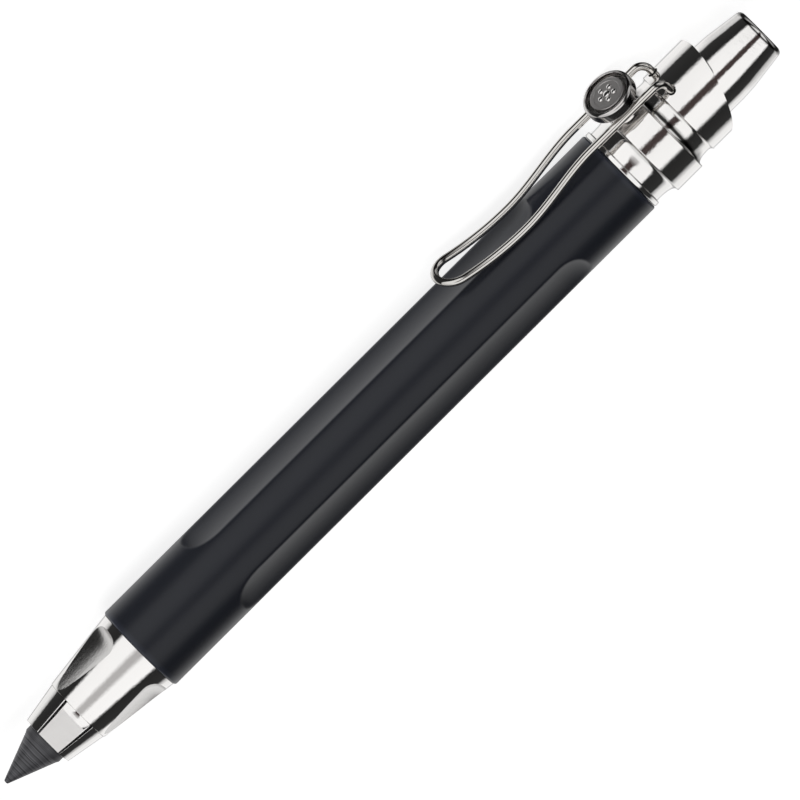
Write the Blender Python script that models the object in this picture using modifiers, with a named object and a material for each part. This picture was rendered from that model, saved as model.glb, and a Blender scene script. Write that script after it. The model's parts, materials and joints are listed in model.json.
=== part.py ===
"""Clutch lead holder for a thick drawing lead, lying on its side.

The pen's axis is X: the push cap's flat end is at the origin and the lead's point is at +X.
Every piece is laid out in the pen's own frame, where the clip is straight above the axis (+Z), and
hangs from one empty that rolls the pen over until its clip knob and its clip ring touch the table.
"""

import math

import bmesh
import bpy
from mathutils import Matrix, Vector

MM = 0.001
DEG = math.pi / 180

# Lead
LEAD_R = 2.8 * MM
LEAD_LENGTH = 80.0 * MM
LEAD_POINT_LENGTH = 6.4 * MM
LEAD_POINT_R = 0.3 * MM
LEAD_SHOWS = 7.2 * MM
LEAD_PLAY = 0.15 * MM
GRIP_GAP = 0.1 * MM

# Clearances
FIT = 0.08 * MM
SEAT_GAP = 0.1 * MM
SLIDE_PLAY = 0.15 * MM

# Lengths along the pen, from the push cap's end to the lead's point
CAP_SHOWS = 9.45 * MM
COLLAR_LENGTH = 4.45 * MM
REAR_NECK_LENGTH = 2.6 * MM
RING_WIDTH = 4.2 * MM
FRONT_NECK_LENGTH = 2.5 * MM
FLANGE_WIDTH = 0.7 * MM
BARREL_LENGTH = 82.3 * MM
NOSE_LENGTH = 10.45 * MM
JAW_SHOWS = 5.25 * MM

# Lead tube, return spring and barrel
TUBE_WALL = 0.45 * MM
TUBE_END_GAP = 0.9 * MM
SPRING_WIRE_R = 0.25 * MM
SPRING_LENGTH = 20.0 * MM
SPRING_TURNS = 9
SPRING_PLAY = 0.3 * MM
STOP_WIDTH = 2.2 * MM
WASHER_WIDTH = 0.6 * MM
BARREL_WALL = 1.8 * MM
BARREL_ROUND = 0.4 * MM
SOCKET_STEP = 0.55 * MM
SOCKET_DEPTH = 7.0 * MM
SPIGOT_END_GAP = 0.6 * MM

# Finger flutes in the barrel
FLUTE_COUNT = 3
FLUTE_TURN = 12 * DEG
FLUTE_DEPTH = 1.0 * MM
FLUTE_SWEEP_R = 17.0 * MM
FLUTE_REAR_INSET = 10.3 * MM
FLUTE_FRONT_INSET = 12.5 * MM
FLUTE_REAR_RAMP = 3.4 * MM
FLUTE_FRONT_RAMP = 4.8 * MM

# Chuck
CHUCK_TURN = 6 * DEG
JAW_COUNT = 6
SLIT = 0.36 * MM
JAW_LENGTH = 16.4 * MM
JAW_TIP_WALL = 0.67 * MM
JAW_EDGE = 0.15 * MM
LOCK_WALL = 1.4 * MM
LOCK_LENGTH = 5.1 * MM
LOCK_TAPER = 0.1
SHOULDER_STEP = 0.16 * MM
STEM_WALL = 0.6 * MM
STEM_EASE = 0.1 * MM
STEM_BLEND = 1.5 * MM
JAW_FLAT_LENGTH = 4.25 * MM
SLEEVE_WALL = 0.42 * MM
SLEEVE_LENGTH = 4.7 * MM
SLEEVE_GAP = 0.4 * MM
SLEEVE_GRIP = 2.5 * MM

# Nose cone
NOSE_STEP = 0.25 * MM
MOUTH_LIP = 0.16 * MM
NOSE_TURN = 2 * DEG
SCOOP_COUNT = 3
SCOOP_SWEEP_R = 10.0 * MM
SCOOP_RISE = 0.04 * MM
SCOOP_REAR_INSET = 0.9 * MM
SCOOP_ROUND = 2.1 * MM

# Push cap and the point sharpener in it
CAP_WALL = 0.89 * MM
CAP_LENGTH = 20.0 * MM
CAP_TAPER_LENGTH = 6.3 * MM
CAP_TAPER_DROP = 0.7 * MM
CAP_RIM_ROUND = 0.8 * MM
CAP_END_WALL = 1.2 * MM
SHARPENER_LENGTH = 6.0 * MM
SHARPENER_WALL = 0.55 * MM
SHARPENER_MOUTH_WALL = 0.25 * MM
SHARPENER_HOLE_R = 0.4 * MM
SHARPENER_HOLE_DEPTH = 1.0 * MM
BLADE_THICKNESS = 0.35 * MM
BLADE_WIDTH = 0.8 * MM
BLADE_END_INSET = 0.9 * MM

# Rear ferrule, clip ring and tail collar
SHAFT_WALL = 0.7 * MM
SHAFT_INSET = 1.6 * MM
FLANGE_STEP = 0.08 * MM
NECK_DROP = 0.35 * MM
NECK_FLARE = 0.25 * MM
RING_WALL = 1.34 * MM
RING_ROUND = 0.2 * MM
COLLAR_WALL = 0.76 * MM
COLLAR_SLANT = 20.4 * DEG

# Clip
CLIP_WIRE_R = 0.515 * MM
CLIP_SPREAD = 5.0 * MM
CLIP_TOE_IN = 0.25 * MM
CLIP_LEVEL = 1.3 * MM
CLIP_HOOK_INSET = 1.0 * MM
CLIP_BEND_R = 1.5 * MM
CLIP_REACH = 36.2 * MM
CLIP_GAP = 0.16 * MM
CLIP_TIP_RISE = 2.2 * MM
CLIP_LEVEL_SHARE = 0.33
CLIP_LOW_SHARE = 0.665
HOOK_HOLE_R = 0.95 * MM
HOOK_DEPTH = 0.6 * MM

# Clip knob
KNOB_OVERHANG = 1.7 * MM
KNOB_THICKNESS = 1.69 * MM
KNOB_ROUND = 0.5 * MM
KNOB_LIFT = 0.545 * MM
KNOB_POST_PLAY = 0.235 * MM
KNOB_STEM_STEP = 0.65 * MM
KNOB_RIM = 0.5 * MM
KNOB_RECESS = 0.75 * MM
DISC_GROOVE = 0.55 * MM
DISC_THICKNESS = 0.5 * MM
BASE_STEP = 0.15 * MM
BASE_THICKNESS = 0.95 * MM
BASE_SINK = 0.62 * MM

# Facets
OUTER_SIDES = 48
INNER_SIDES = 40
SMALL_SIDES = 24
SWEEP_SIDES = 144
ARC_STEPS = 3
OVERRUN = 1.0 * MM
MERGE = 0.00001

# Radii, from the lead outwards
TUBE_BORE_R = LEAD_R + LEAD_PLAY
TUBE_R = TUBE_BORE_R + TUBE_WALL
SPRING_R = TUBE_R + SPRING_PLAY + SPRING_WIRE_R
BARREL_BORE_R = SPRING_R + SPRING_WIRE_R + SPRING_PLAY / 2
BARREL_R = BARREL_BORE_R + BARREL_WALL
SOCKET_R = BARREL_BORE_R + SOCKET_STEP
SPIGOT_R = SOCKET_R - FIT
SLEEVE_R = TUBE_R + FIT + SLEEVE_WALL
NOSE_BORE_R = SLEEVE_R + SLIDE_PLAY
JAW_BORE_R = LEAD_R + GRIP_GAP
JAW_TIP_R = JAW_BORE_R + JAW_TIP_WALL
LOCK_R = JAW_BORE_R + LOCK_WALL
SHOULDER_R = LOCK_R + SHOULDER_STEP
STEM_BORE_R = JAW_BORE_R + STEM_EASE
STEM_R = STEM_BORE_R + STEM_WALL
MOUTH_R = LOCK_R + SEAT_GAP
CAP_BORE_R = TUBE_R + FIT
CAP_R = CAP_BORE_R + CAP_WALL
FERRULE_BORE_R = CAP_R + SLIDE_PLAY
SHAFT_R = FERRULE_BORE_R + SHAFT_WALL
RING_BORE_R = SHAFT_R + FIT
RING_R = RING_BORE_R + RING_WALL
COLLAR_R = RING_BORE_R + COLLAR_WALL
FLANGE_R = BARREL_R - FLANGE_STEP

# Places along X, from the push cap's end forwards
COLLAR_FRONT = CAP_SHOWS + COLLAR_LENGTH
TAIL_FRONT = COLLAR_FRONT + REAR_NECK_LENGTH
RING_REAR = TAIL_FRONT + SEAT_GAP
RING_FRONT = RING_REAR + RING_WIDTH
NECK_REAR = RING_FRONT + SEAT_GAP
FLANGE_REAR = NECK_REAR + FRONT_NECK_LENGTH
FLANGE_FRONT = FLANGE_REAR + FLANGE_WIDTH
BARREL_REAR = FLANGE_FRONT + SEAT_GAP
BARREL_FRONT = BARREL_REAR + BARREL_LENGTH
NOSE_REAR = BARREL_FRONT + SEAT_GAP
NOSE_FRONT = NOSE_REAR + NOSE_LENGTH
JAW_FRONT = NOSE_FRONT + JAW_SHOWS
JAW_REAR = JAW_FRONT - JAW_LENGTH
TIP = JAW_FRONT + LEAD_SHOWS
SLEEVE_FRONT = JAW_REAR - SLEEVE_GAP
TUBE_FRONT = SLEEVE_FRONT - SLEEVE_LENGTH + SLEEVE_GRIP
SPIGOT_LENGTH = SOCKET_DEPTH - SPIGOT_END_GAP - WASHER_WIDTH
WASHER_FRONT = NOSE_REAR - SPIGOT_LENGTH - SEAT_GAP
SPRING_FRONT = WASHER_FRONT - WASHER_WIDTH - SEAT_GAP
SPRING_REAR = SPRING_FRONT - SPRING_LENGTH
SHAFT_REAR = CAP_SHOWS + SHAFT_INSET
SHARPENER_REAR = CAP_END_WALL + SEAT_GAP
TUBE_REAR = SHARPENER_REAR + SHARPENER_LENGTH + TUBE_END_GAP

# Clip and knob sizes and places, in the plane of the pen's axis
CLIP_HOOK_SPREAD = CLIP_SPREAD - 2 * CLIP_TOE_IN
KNOB_POST_R = CLIP_SPREAD / 2 - CLIP_WIRE_R - KNOB_POST_PLAY
KNOB_STEM_R = KNOB_POST_R - KNOB_STEM_STEP
KNOB_R = KNOB_POST_R + KNOB_OVERHANG
BASE_R = KNOB_POST_R + BASE_STEP
CLIP_HEIGHT = RING_R + CLIP_LEVEL
CLIP_LOW = math.sqrt((BARREL_R + CLIP_GAP + CLIP_WIRE_R) ** 2 - (CLIP_SPREAD / 2) ** 2)
CLIP_HINGE_X = COLLAR_FRONT - CLIP_HOOK_INSET
CLIP_HINGE_Z = math.sqrt(COLLAR_R**2 - (CLIP_HOOK_SPREAD / 2) ** 2)
KNOB_X = (RING_REAR + RING_FRONT) / 2
KNOB_UNDER = CLIP_HEIGHT + CLIP_WIRE_R + KNOB_LIFT
KNOB_TOP = KNOB_UNDER + KNOB_THICKNESS
BASE_FLOOR = RING_R - BASE_SINK
BASE_TOP = BASE_FLOOR + SEAT_GAP + BASE_THICKNESS

# How far the pen rolls from clip upwards until its knob's rim and its clip ring share one table
KNOB_EDGE = Vector((KNOB_R - KNOB_ROUND, KNOB_TOP - KNOB_ROUND))
REST_ROLL = (
    90 * DEG
    + math.asin((RING_R - KNOB_ROUND) / KNOB_EDGE.length)
    - math.atan2(KNOB_EDGE.x, KNOB_EDGE.y)
)


def clear_scene():
    for item in list(bpy.data.objects):
        bpy.data.objects.remove(item)


def new_collection(name):
    collection = bpy.data.collections.new(name)
    bpy.context.scene.collection.children.link(collection)
    return collection


def empty(name, place, parent=None):
    """A guide axis that pieces hang from."""
    item = bpy.data.objects.new(name, None)
    item.empty_display_size = BARREL_R
    item.parent = parent
    item.matrix_basis = place
    GUIDES.objects.link(item)
    return item


def finish(name, color, metallic, roughness):
    material = bpy.data.materials.new(name)
    material.use_nodes = True
    shader = material.node_tree.nodes["Principled BSDF"]
    shader.inputs["Base Color"].default_value = (*color, 1.0)
    shader.inputs["Metallic"].default_value = metallic
    shader.inputs["Roughness"].default_value = roughness
    material.diffuse_color = (*color, 1.0)
    return material


def add_piece(name, data, material, parent=None, place=None):
    data.materials.append(material)
    item = bpy.data.objects.new(name, data)
    item.parent = parent or PEN
    item.matrix_basis = place or Matrix.Identity(4)
    PARTS.objects.link(item)
    return item


def add_cutter(name, data, place, parent=None):
    item = bpy.data.objects.new(name, data)
    item.parent = parent or PEN
    item.matrix_basis = place
    item.hide_render = True
    item.display_type = "WIRE"
    CUTTERS.objects.link(item)
    return item


def shade(data, angle=35 * DEG):
    data.shade_smooth()
    data.set_sharp_from_angle(angle=angle)


def arc(start, end, bulge_r, bulge_x):
    """Points of a quarter ellipse from start to end, both left out. bulge_r and bulge_x name its centre."""
    points = []
    for step in range(1, ARC_STEPS):
        t = step / ARC_STEPS * 90 * DEG
        points.append(
            (
                bulge_x + (start[0] - bulge_x) * math.cos(t) + (end[0] - bulge_x) * math.sin(t),
                bulge_r + (start[1] - bulge_r) * math.cos(t) + (end[1] - bulge_r) * math.sin(t),
            )
        )
    return points


def corner(start, end, hollow=False):
    """start, a quarter ellipse and end. The arc bulges outwards from the axis, or inwards where it is hollow."""
    outer_r = max(start[1], end[1])
    inner_r = min(start[1], end[1])
    lower = start if start[1] == inner_r else end
    upper = end if lower is start else start
    if hollow:
        return [start, *arc(start, end, outer_r, lower[0]), end]
    return [start, *arc(start, end, inner_r, upper[0]), end]


def profile_mesh(name, outline, closed):
    """A turned outline of (place along the axis, radius) points, as edges in the local XZ plane."""
    shape = bmesh.new()
    points = [shape.verts.new((radius, 0.0, along)) for along, radius in outline]
    for first, second in zip(points, points[1:]):
        shape.edges.new((first, second))
    if closed:
        shape.edges.new((points[-1], points[0]))
    data = bpy.data.meshes.new(name)
    shape.to_mesh(data)
    shape.free()
    return data


def spin(item, sides):
    screw = item.modifiers.new("turn", "SCREW")
    screw.axis = "Z"
    screw.angle = 360 * DEG
    screw.steps = sides
    screw.render_steps = sides
    screw.use_merge_vertices = True
    screw.merge_threshold = MERGE
    screw.use_smooth_shade = True
    return item


def along_pen(place=None):
    """Stands a turned piece's Z axis along the pen's X axis."""
    return (place or Matrix.Identity(4)) @ Matrix.Rotation(90 * DEG, 4, "Y")


def turned(name, outline, material, sides=INNER_SIDES, parent=None, place=None):
    """A piece turned about the pen's axis. Its outline runs from the front along the outside to the
    rear, and a hollow one's returns along the bore. One that starts and ends on the axis is solid."""
    solid = outline[0][1] == 0.0
    item = add_piece(name, profile_mesh(name, outline, not solid), material, parent, along_pen(place))
    return spin(item, sides)


def turned_cutter(name, outline, place, sides=SMALL_SIDES):
    return spin(add_cutter(name, profile_mesh(name, outline, False), place), sides)


def box_mesh(name, low, high):
    shape = bmesh.new()
    bmesh.ops.create_cube(shape, size=1.0)
    low, high = Vector(low), Vector(high)
    for vert in shape.verts:
        vert.co = Vector([low[k] + (vert.co[k] + 0.5) * (high[k] - low[k]) for k in range(3)])
    data = bpy.data.meshes.new(name)
    shape.to_mesh(data)
    shape.free()
    return data


def cut(item, cutter, operation="DIFFERENCE"):
    boolean = item.modifiers.new(operation.lower(), "BOOLEAN")
    boolean.operation = operation
    boolean.solver = "EXACT"
    boolean.object = cutter
    return item


def around(angle):
    """Turns about the pen's axis, counted from the clip."""
    return Matrix.Rotation(angle, 4, "X")


def at(x, y, z):
    return Matrix.Translation((x, y, z))


def wire(name, points, radius, material, parent=None, place=None):
    """Round wire through points, with closed ends."""
    data = bpy.data.curves.new(name, "CURVE")
    data.dimensions = "3D"
    data.bevel_depth = radius
    data.bevel_resolution = 2
    data.use_fill_caps = True
    spline = data.splines.new("POLY")
    spline.points.add(len(points) - 1)
    for target, point in zip(spline.points, points):
        target.co = (*point, 1.0)
    return add_piece(name, data, material, parent, place)


def sweep_outline(rear, front, rear_ramp, front_ramp, radius, depth):
    """A long spindle that grinds a groove: full radius in the middle and run out at both ends."""
    shallow = radius - depth - SEAT_GAP
    return [
        (front, 0.0),
        *corner((front, shallow), (front - front_ramp, radius)),
        *corner((rear + rear_ramp, radius), (rear, shallow)),
        (rear, 0.0),
    ]


# Lead and plunger


def make_lead():
    outline = [
        (TIP, 0.0),
        (TIP, LEAD_POINT_R),
        (TIP - LEAD_POINT_LENGTH, LEAD_R),
        (TIP - LEAD_LENGTH, LEAD_R),
        (TIP - LEAD_LENGTH, 0.0),
    ]
    turned("lead", outline, GRAPHITE)


def make_lead_tube():
    outline = [
        (TUBE_FRONT, TUBE_R),
        (TUBE_REAR, TUBE_R),
        (TUBE_REAR, TUBE_BORE_R),
        (TUBE_FRONT, TUBE_BORE_R),
    ]
    turned("lead_tube", outline, BRASS)


def make_spring_stop():
    front = SPRING_REAR - SEAT_GAP
    rear = front - STOP_WIDTH
    outer = BARREL_BORE_R - SLIDE_PLAY
    outline = [
        (front, outer - BARREL_ROUND / 2),
        (front - BARREL_ROUND / 2, outer),
        (rear + BARREL_ROUND / 2, outer),
        (rear, outer - BARREL_ROUND / 2),
        (rear, TUBE_R + FIT),
        (front, TUBE_R + FIT),
    ]
    turned("spring_stop", outline, BRASS)


def make_return_spring():
    closed_pitch = 2.2 * SPRING_WIRE_R
    travel = SPRING_LENGTH - 2 * SPRING_WIRE_R
    open_pitch = (travel - 2 * closed_pitch) / (SPRING_TURNS - 2)
    steps = 12
    points = []
    for step in range(SPRING_TURNS * steps + 1):
        turn = step / steps
        middle = min(max(turn - 1, 0), SPRING_TURNS - 2)
        along = middle * open_pitch + (turn - middle) * closed_pitch
        angle = turn * 360 * DEG
        x = SPRING_REAR + SPRING_WIRE_R + along
        points.append((x, SPRING_R * math.sin(angle), SPRING_R * math.cos(angle)))
    wire("return_spring", points, SPRING_WIRE_R, SPRING_STEEL)


def make_spring_washer():
    outline = [
        (WASHER_FRONT, SPIGOT_R),
        (WASHER_FRONT - WASHER_WIDTH, SPIGOT_R),
        (WASHER_FRONT - WASHER_WIDTH, TUBE_R + SLIDE_PLAY),
        (WASHER_FRONT, TUBE_R + SLIDE_PLAY),
    ]
    turned("spring_washer", outline, SPRING_STEEL)


# Chuck


def make_chuck_sleeve():
    rear = SLEEVE_FRONT - SLEEVE_LENGTH
    outline = [
        (SLEEVE_FRONT, SLEEVE_R),
        (rear, SLEEVE_R),
        (rear, TUBE_R + FIT),
        (TUBE_FRONT + SEAT_GAP, TUBE_R + FIT),
        (TUBE_FRONT + SEAT_GAP, STEM_BORE_R),
        (SLEEVE_FRONT, STEM_BORE_R),
    ]
    turned("chuck_sleeve", outline, BRASS)


def jaw_outline():
    lock_front = NOSE_FRONT + SEAT_GAP / 2
    lock_rear = lock_front - LOCK_LENGTH
    lock_rear_r = LOCK_R - LOCK_TAPER * LOCK_LENGTH
    stem_front = lock_rear - STEM_BLEND
    return [
        (JAW_FRONT, JAW_TIP_R - JAW_EDGE),
        (JAW_FRONT - JAW_EDGE, JAW_TIP_R),
        (NOSE_FRONT + SEAT_GAP + JAW_EDGE, SHOULDER_R),
        (NOSE_FRONT + SEAT_GAP, SHOULDER_R - JAW_EDGE / 2),
        (lock_front, LOCK_R),
        (lock_rear, lock_rear_r),
        (stem_front, STEM_R),
        (JAW_REAR, STEM_R),
        (JAW_REAR, STEM_BORE_R),
        (stem_front, STEM_BORE_R),
        (lock_rear, JAW_BORE_R),
        (JAW_FRONT, JAW_BORE_R),
    ]


def jaw_hinge_place(angle):
    """The middle of a jaw's springy root: its local Y axis is the one that the jaw bends about."""
    return around(angle) @ at(JAW_REAR, 0, (STEM_BORE_R + STEM_R) / 2)


def make_jaw(index):
    step = 360 * DEG / JAW_COUNT
    angle = CHUCK_TURN + index * step
    name = f"chuck_jaw_{index + 1}"
    place = jaw_hinge_place(angle)
    hinge = empty(f"jaw_hinge_{index + 1}", place, PEN)
    jaw = turned(name, jaw_outline(), NICKEL, OUTER_SIDES, hinge, place.inverted() @ around(angle))
    cut(jaw, wedge_cutter(index, angle, step), "INTERSECT")
    if index % 2:
        cut(jaw, flat_cutter(index, angle, step))


def wedge_cutter(index, angle, step):
    """A prism that is one jaw's share of the circle, less half a slit on each side."""
    reach = 3 * SHOULDER_R
    outline = bmesh.new()
    half = step / 2
    apex = SLIT / 2 / math.sin(half)
    length = JAW_LENGTH + 2 * OVERRUN
    corners = [(0.0, apex), (-reach * math.tan(half), apex + reach), (reach * math.tan(half), apex + reach)]
    face = outline.faces.new([outline.verts.new((JAW_REAR - OVERRUN, y, z)) for y, z in corners])
    grown = bmesh.ops.extrude_face_region(outline, geom=[face])
    moved = [item for item in grown["geom"] if isinstance(item, bmesh.types.BMVert)]
    bmesh.ops.translate(outline, vec=(length, 0, 0), verts=moved)
    bmesh.ops.recalc_face_normals(outline, faces=outline.faces)
    data = bpy.data.meshes.new("jaw_wedge")
    outline.to_mesh(data)
    outline.free()
    return add_cutter(f"jaw_wedge_{index + 1}", data, around(angle))


def flat_cutter(index, angle, step):
    """The flat milled along a jaw, as steep as the jaw's own cone and as wide as the jaw."""
    half_jaw = step / 2 - math.asin(SLIT / 2 / JAW_TIP_R)
    slope = (SHOULDER_R - JAW_TIP_R) / JAW_SHOWS
    rear_r = JAW_TIP_R + slope * JAW_FLAT_LENGTH
    shrink = math.cos(half_jaw)
    tilt = math.atan(slope * shrink)
    data = box_mesh("jaw_flat", (0, -BARREL_R, 0), (JAW_LENGTH, BARREL_R, BARREL_R))
    corner_place = at(JAW_FRONT - JAW_FLAT_LENGTH, 0, rear_r * shrink)
    return add_cutter(
        f"jaw_flat_{index + 1}", data, around(angle) @ corner_place @ Matrix.Rotation(tilt, 4, "Y")
    )


# Casing


def make_barrel():
    front_shoulder = BARREL_FRONT - SOCKET_DEPTH
    rear_shoulder = BARREL_REAR + SOCKET_DEPTH
    outline = [
        *corner((BARREL_FRONT, BARREL_R - BARREL_ROUND), (BARREL_FRONT - BARREL_ROUND, BARREL_R)),
        *corner((BARREL_REAR + BARREL_ROUND, BARREL_R), (BARREL_REAR, BARREL_R - BARREL_ROUND)),
        (BARREL_REAR, SOCKET_R),
        (rear_shoulder, SOCKET_R),
        (rear_shoulder, BARREL_BORE_R),
        (front_shoulder, BARREL_BORE_R),
        (front_shoulder, SOCKET_R),
        (BARREL_FRONT, SOCKET_R),
    ]
    barrel = turned("barrel", outline, LACQUER, OUTER_SIDES)
    spindle = sweep_outline(
        BARREL_REAR + FLUTE_REAR_INSET,
        BARREL_FRONT - FLUTE_FRONT_INSET,
        FLUTE_REAR_RAMP,
        FLUTE_FRONT_RAMP,
        FLUTE_SWEEP_R,
        FLUTE_DEPTH,
    )
    for index in range(FLUTE_COUNT):
        angle = FLUTE_TURN + index * 360 * DEG / FLUTE_COUNT
        place = around(angle) @ at(0, 0, BARREL_R - FLUTE_DEPTH + FLUTE_SWEEP_R)
        cut(barrel, turned_cutter(f"flute_{index + 1}", spindle, along_pen(place), SWEEP_SIDES))


def make_nose_cone():
    seat_rear = NOSE_FRONT - LOCK_LENGTH
    seat_rear_r = MOUTH_R - LOCK_TAPER * LOCK_LENGTH
    bore_front = seat_rear - abs(NOSE_BORE_R - seat_rear_r)
    spigot_rear = NOSE_REAR - SPIGOT_LENGTH
    outline = [
        (NOSE_FRONT, MOUTH_R + MOUTH_LIP),
        (NOSE_REAR, BARREL_R - NOSE_STEP),
        (NOSE_REAR, SPIGOT_R),
        (spigot_rear, SPIGOT_R),
        (spigot_rear, NOSE_BORE_R),
        (bore_front, NOSE_BORE_R),
        (seat_rear, seat_rear_r),
        (NOSE_FRONT, MOUTH_R),
    ]
    nose = turned("nose_cone", outline, NICKEL, OUTER_SIDES)
    floor_r = MOUTH_R + MOUTH_LIP + SCOOP_RISE
    depth = BARREL_R - floor_r
    spindle = sweep_outline(
        NOSE_REAR + SCOOP_REAR_INSET,
        NOSE_FRONT + OVERRUN + SCOOP_ROUND,
        SCOOP_ROUND,
        SCOOP_ROUND,
        SCOOP_SWEEP_R,
        depth,
    )
    for index in range(SCOOP_COUNT):
        angle = NOSE_TURN + index * 360 * DEG / SCOOP_COUNT
        place = around(angle) @ at(0, 0, floor_r + SCOOP_SWEEP_R)
        cut(nose, turned_cutter(f"scoop_{index + 1}", spindle, along_pen(place), SWEEP_SIDES))


def make_rear_ferrule():
    neck_r = FLANGE_R - NECK_DROP
    waist = FLANGE_REAR - FRONT_NECK_LENGTH / 4
    spigot_front = FLANGE_FRONT + SPIGOT_LENGTH
    outline = [
        (spigot_front, SPIGOT_R),
        (FLANGE_FRONT, SPIGOT_R),
        *corner((FLANGE_FRONT, FLANGE_R - FLANGE_WIDTH / 4), (FLANGE_FRONT - FLANGE_WIDTH / 4, FLANGE_R)),
        (FLANGE_REAR, FLANGE_R),
        (FLANGE_REAR, neck_r),
        *corner((waist, neck_r), (NECK_REAR, FLANGE_R + NECK_FLARE), hollow=True),
        (NECK_REAR, SHAFT_R),
        (SHAFT_REAR, SHAFT_R),
        (SHAFT_REAR, FERRULE_BORE_R),
        (spigot_front, FERRULE_BORE_R),
    ]
    turned("rear_ferrule", outline, NICKEL, OUTER_SIDES)


def make_clip_ring():
    outline = [
        *corner((RING_FRONT, RING_R - RING_ROUND), (RING_FRONT - RING_ROUND, RING_R)),
        *corner((RING_REAR + RING_ROUND, RING_R), (RING_REAR, RING_R - RING_ROUND)),
        (RING_REAR, RING_BORE_R),
        (RING_FRONT, RING_BORE_R),
    ]
    ring = turned("clip_ring", outline, NICKEL, OUTER_SIDES)
    stem_hole = KNOB_STEM_R + FIT
    outline = [
        (KNOB_TOP, 0.0),
        (KNOB_TOP, BASE_R + FIT),
        (BASE_FLOOR, BASE_R + FIT),
        (BASE_FLOOR, stem_hole),
        (0.0, stem_hole),
        (0.0, 0.0),
    ]
    cut(ring, turned_cutter("knob_seat", outline, at(KNOB_X, 0, 0)))


def make_tail_collar():
    neck_r = COLLAR_R - NECK_DROP
    waist = COLLAR_FRONT + REAR_NECK_LENGTH / 3
    outline = [
        *corner((TAIL_FRONT, COLLAR_R + NECK_FLARE / 2), (waist, neck_r), hollow=True),
        (COLLAR_FRONT, COLLAR_R),
        (0.0, COLLAR_R),
        (0.0, FERRULE_BORE_R),
        (SHAFT_REAR - SEAT_GAP, FERRULE_BORE_R),
        (SHAFT_REAR - SEAT_GAP, RING_BORE_R),
        (TAIL_FRONT, RING_BORE_R),
    ]
    collar = turned("tail_collar", outline, NICKEL, OUTER_SIDES)
    reach = 3 * COLLAR_R
    slab = box_mesh("tail_slant", (-reach, -reach, -reach), (0, reach, reach))
    slant = at(CAP_SHOWS, 0, 0) @ Matrix.Rotation(-COLLAR_SLANT, 4, "Y")
    cut(collar, add_cutter("tail_slant", slab, slant))
    hole = [(reach, 0.0), (reach, HOOK_HOLE_R), (CLIP_HINGE_Z / 2, HOOK_HOLE_R), (CLIP_HINGE_Z / 2, 0.0)]
    for side in (-1, 1):
        place = at(CLIP_HINGE_X, side * CLIP_HOOK_SPREAD / 2, 0)
        cut(collar, turned_cutter(f"hook_hole_{side + 2}", hole, place, INNER_SIDES // 2))


# Push cap and sharpener


def make_push_cap():
    end_r = CAP_R - CAP_TAPER_DROP
    pocket_r = sharpener_r() + FIT
    pocket_front = SHARPENER_REAR + SHARPENER_LENGTH + SEAT_GAP
    outline = [
        (CAP_LENGTH, CAP_R - BARREL_ROUND / 2),
        (CAP_LENGTH - BARREL_ROUND / 2, CAP_R),
        (CAP_TAPER_LENGTH, CAP_R),
        *corner((CAP_RIM_ROUND, end_r), (0.0, end_r - CAP_RIM_ROUND)),
        (0.0, 0.0),
    ]
    bore = [
        (CAP_END_WALL, 0.0),
        (CAP_END_WALL, pocket_r),
        (pocket_front, pocket_r),
        (pocket_front, CAP_BORE_R),
        (CAP_LENGTH, CAP_BORE_R),
    ]
    data = profile_mesh("push_cap", [*outline, *bore], False)
    close_profile(data, len(outline) - 1)
    cap = add_piece("push_cap", data, NICKEL, None, along_pen())
    spin(cap, OUTER_SIDES)


def close_profile(data, axis_index):
    """Opens a cup's outline where it lies on the axis, and joins its mouth."""
    shape = bmesh.new()
    shape.from_mesh(data)
    shape.verts.ensure_lookup_table()
    on_axis = shape.edges.get((shape.verts[axis_index], shape.verts[axis_index + 1]))
    shape.edges.remove(on_axis)
    shape.edges.new((shape.verts[-1], shape.verts[0]))
    shape.to_mesh(data)
    shape.free()


def sharpener_r():
    return LEAD_R + SHARPENER_MOUTH_WALL


def make_sharpener():
    """A cone that points the lead, with a slot that holds its blade."""
    outer = sharpener_r()
    front = SHARPENER_REAR + SHARPENER_LENGTH
    mouth_r = outer - SHARPENER_WALL
    cone_rear = SHARPENER_REAR + SHARPENER_HOLE_DEPTH
    outline = [
        (front, outer),
        (SHARPENER_REAR, outer),
        (SHARPENER_REAR, SHARPENER_HOLE_R),
        (cone_rear, SHARPENER_HOLE_R),
        (front, mouth_r),
    ]
    insert = turned("sharpener_insert", outline, BRASS, SMALL_SIDES)
    tilt = math.atan2(mouth_r - SHARPENER_HOLE_R, front - cone_rear)
    length = (front - cone_rear) / math.cos(tilt) - 2 * BLADE_END_INSET
    place = at(cone_rear, 0, SHARPENER_HOLE_R) @ Matrix.Rotation(-tilt, 4, "Y") @ at(BLADE_END_INSET, 0, 0)
    blade = ((0, -BLADE_WIDTH / 2, 0), (length, BLADE_WIDTH / 2, BLADE_THICKNESS))
    slot_low = (-SEAT_GAP, -BLADE_WIDTH / 2 - SEAT_GAP, -outer)
    slot_high = (length + SEAT_GAP, BLADE_WIDTH / 2 + SEAT_GAP, outer)
    cut(insert, add_cutter("blade_slot", box_mesh("blade_slot", slot_low, slot_high), place))
    add_piece("sharpener_blade", box_mesh("sharpener_blade", *blade), SPRING_STEEL, None, place)


# Clip


def smooth_step(share):
    return share * share * (3 - 2 * share)


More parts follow.
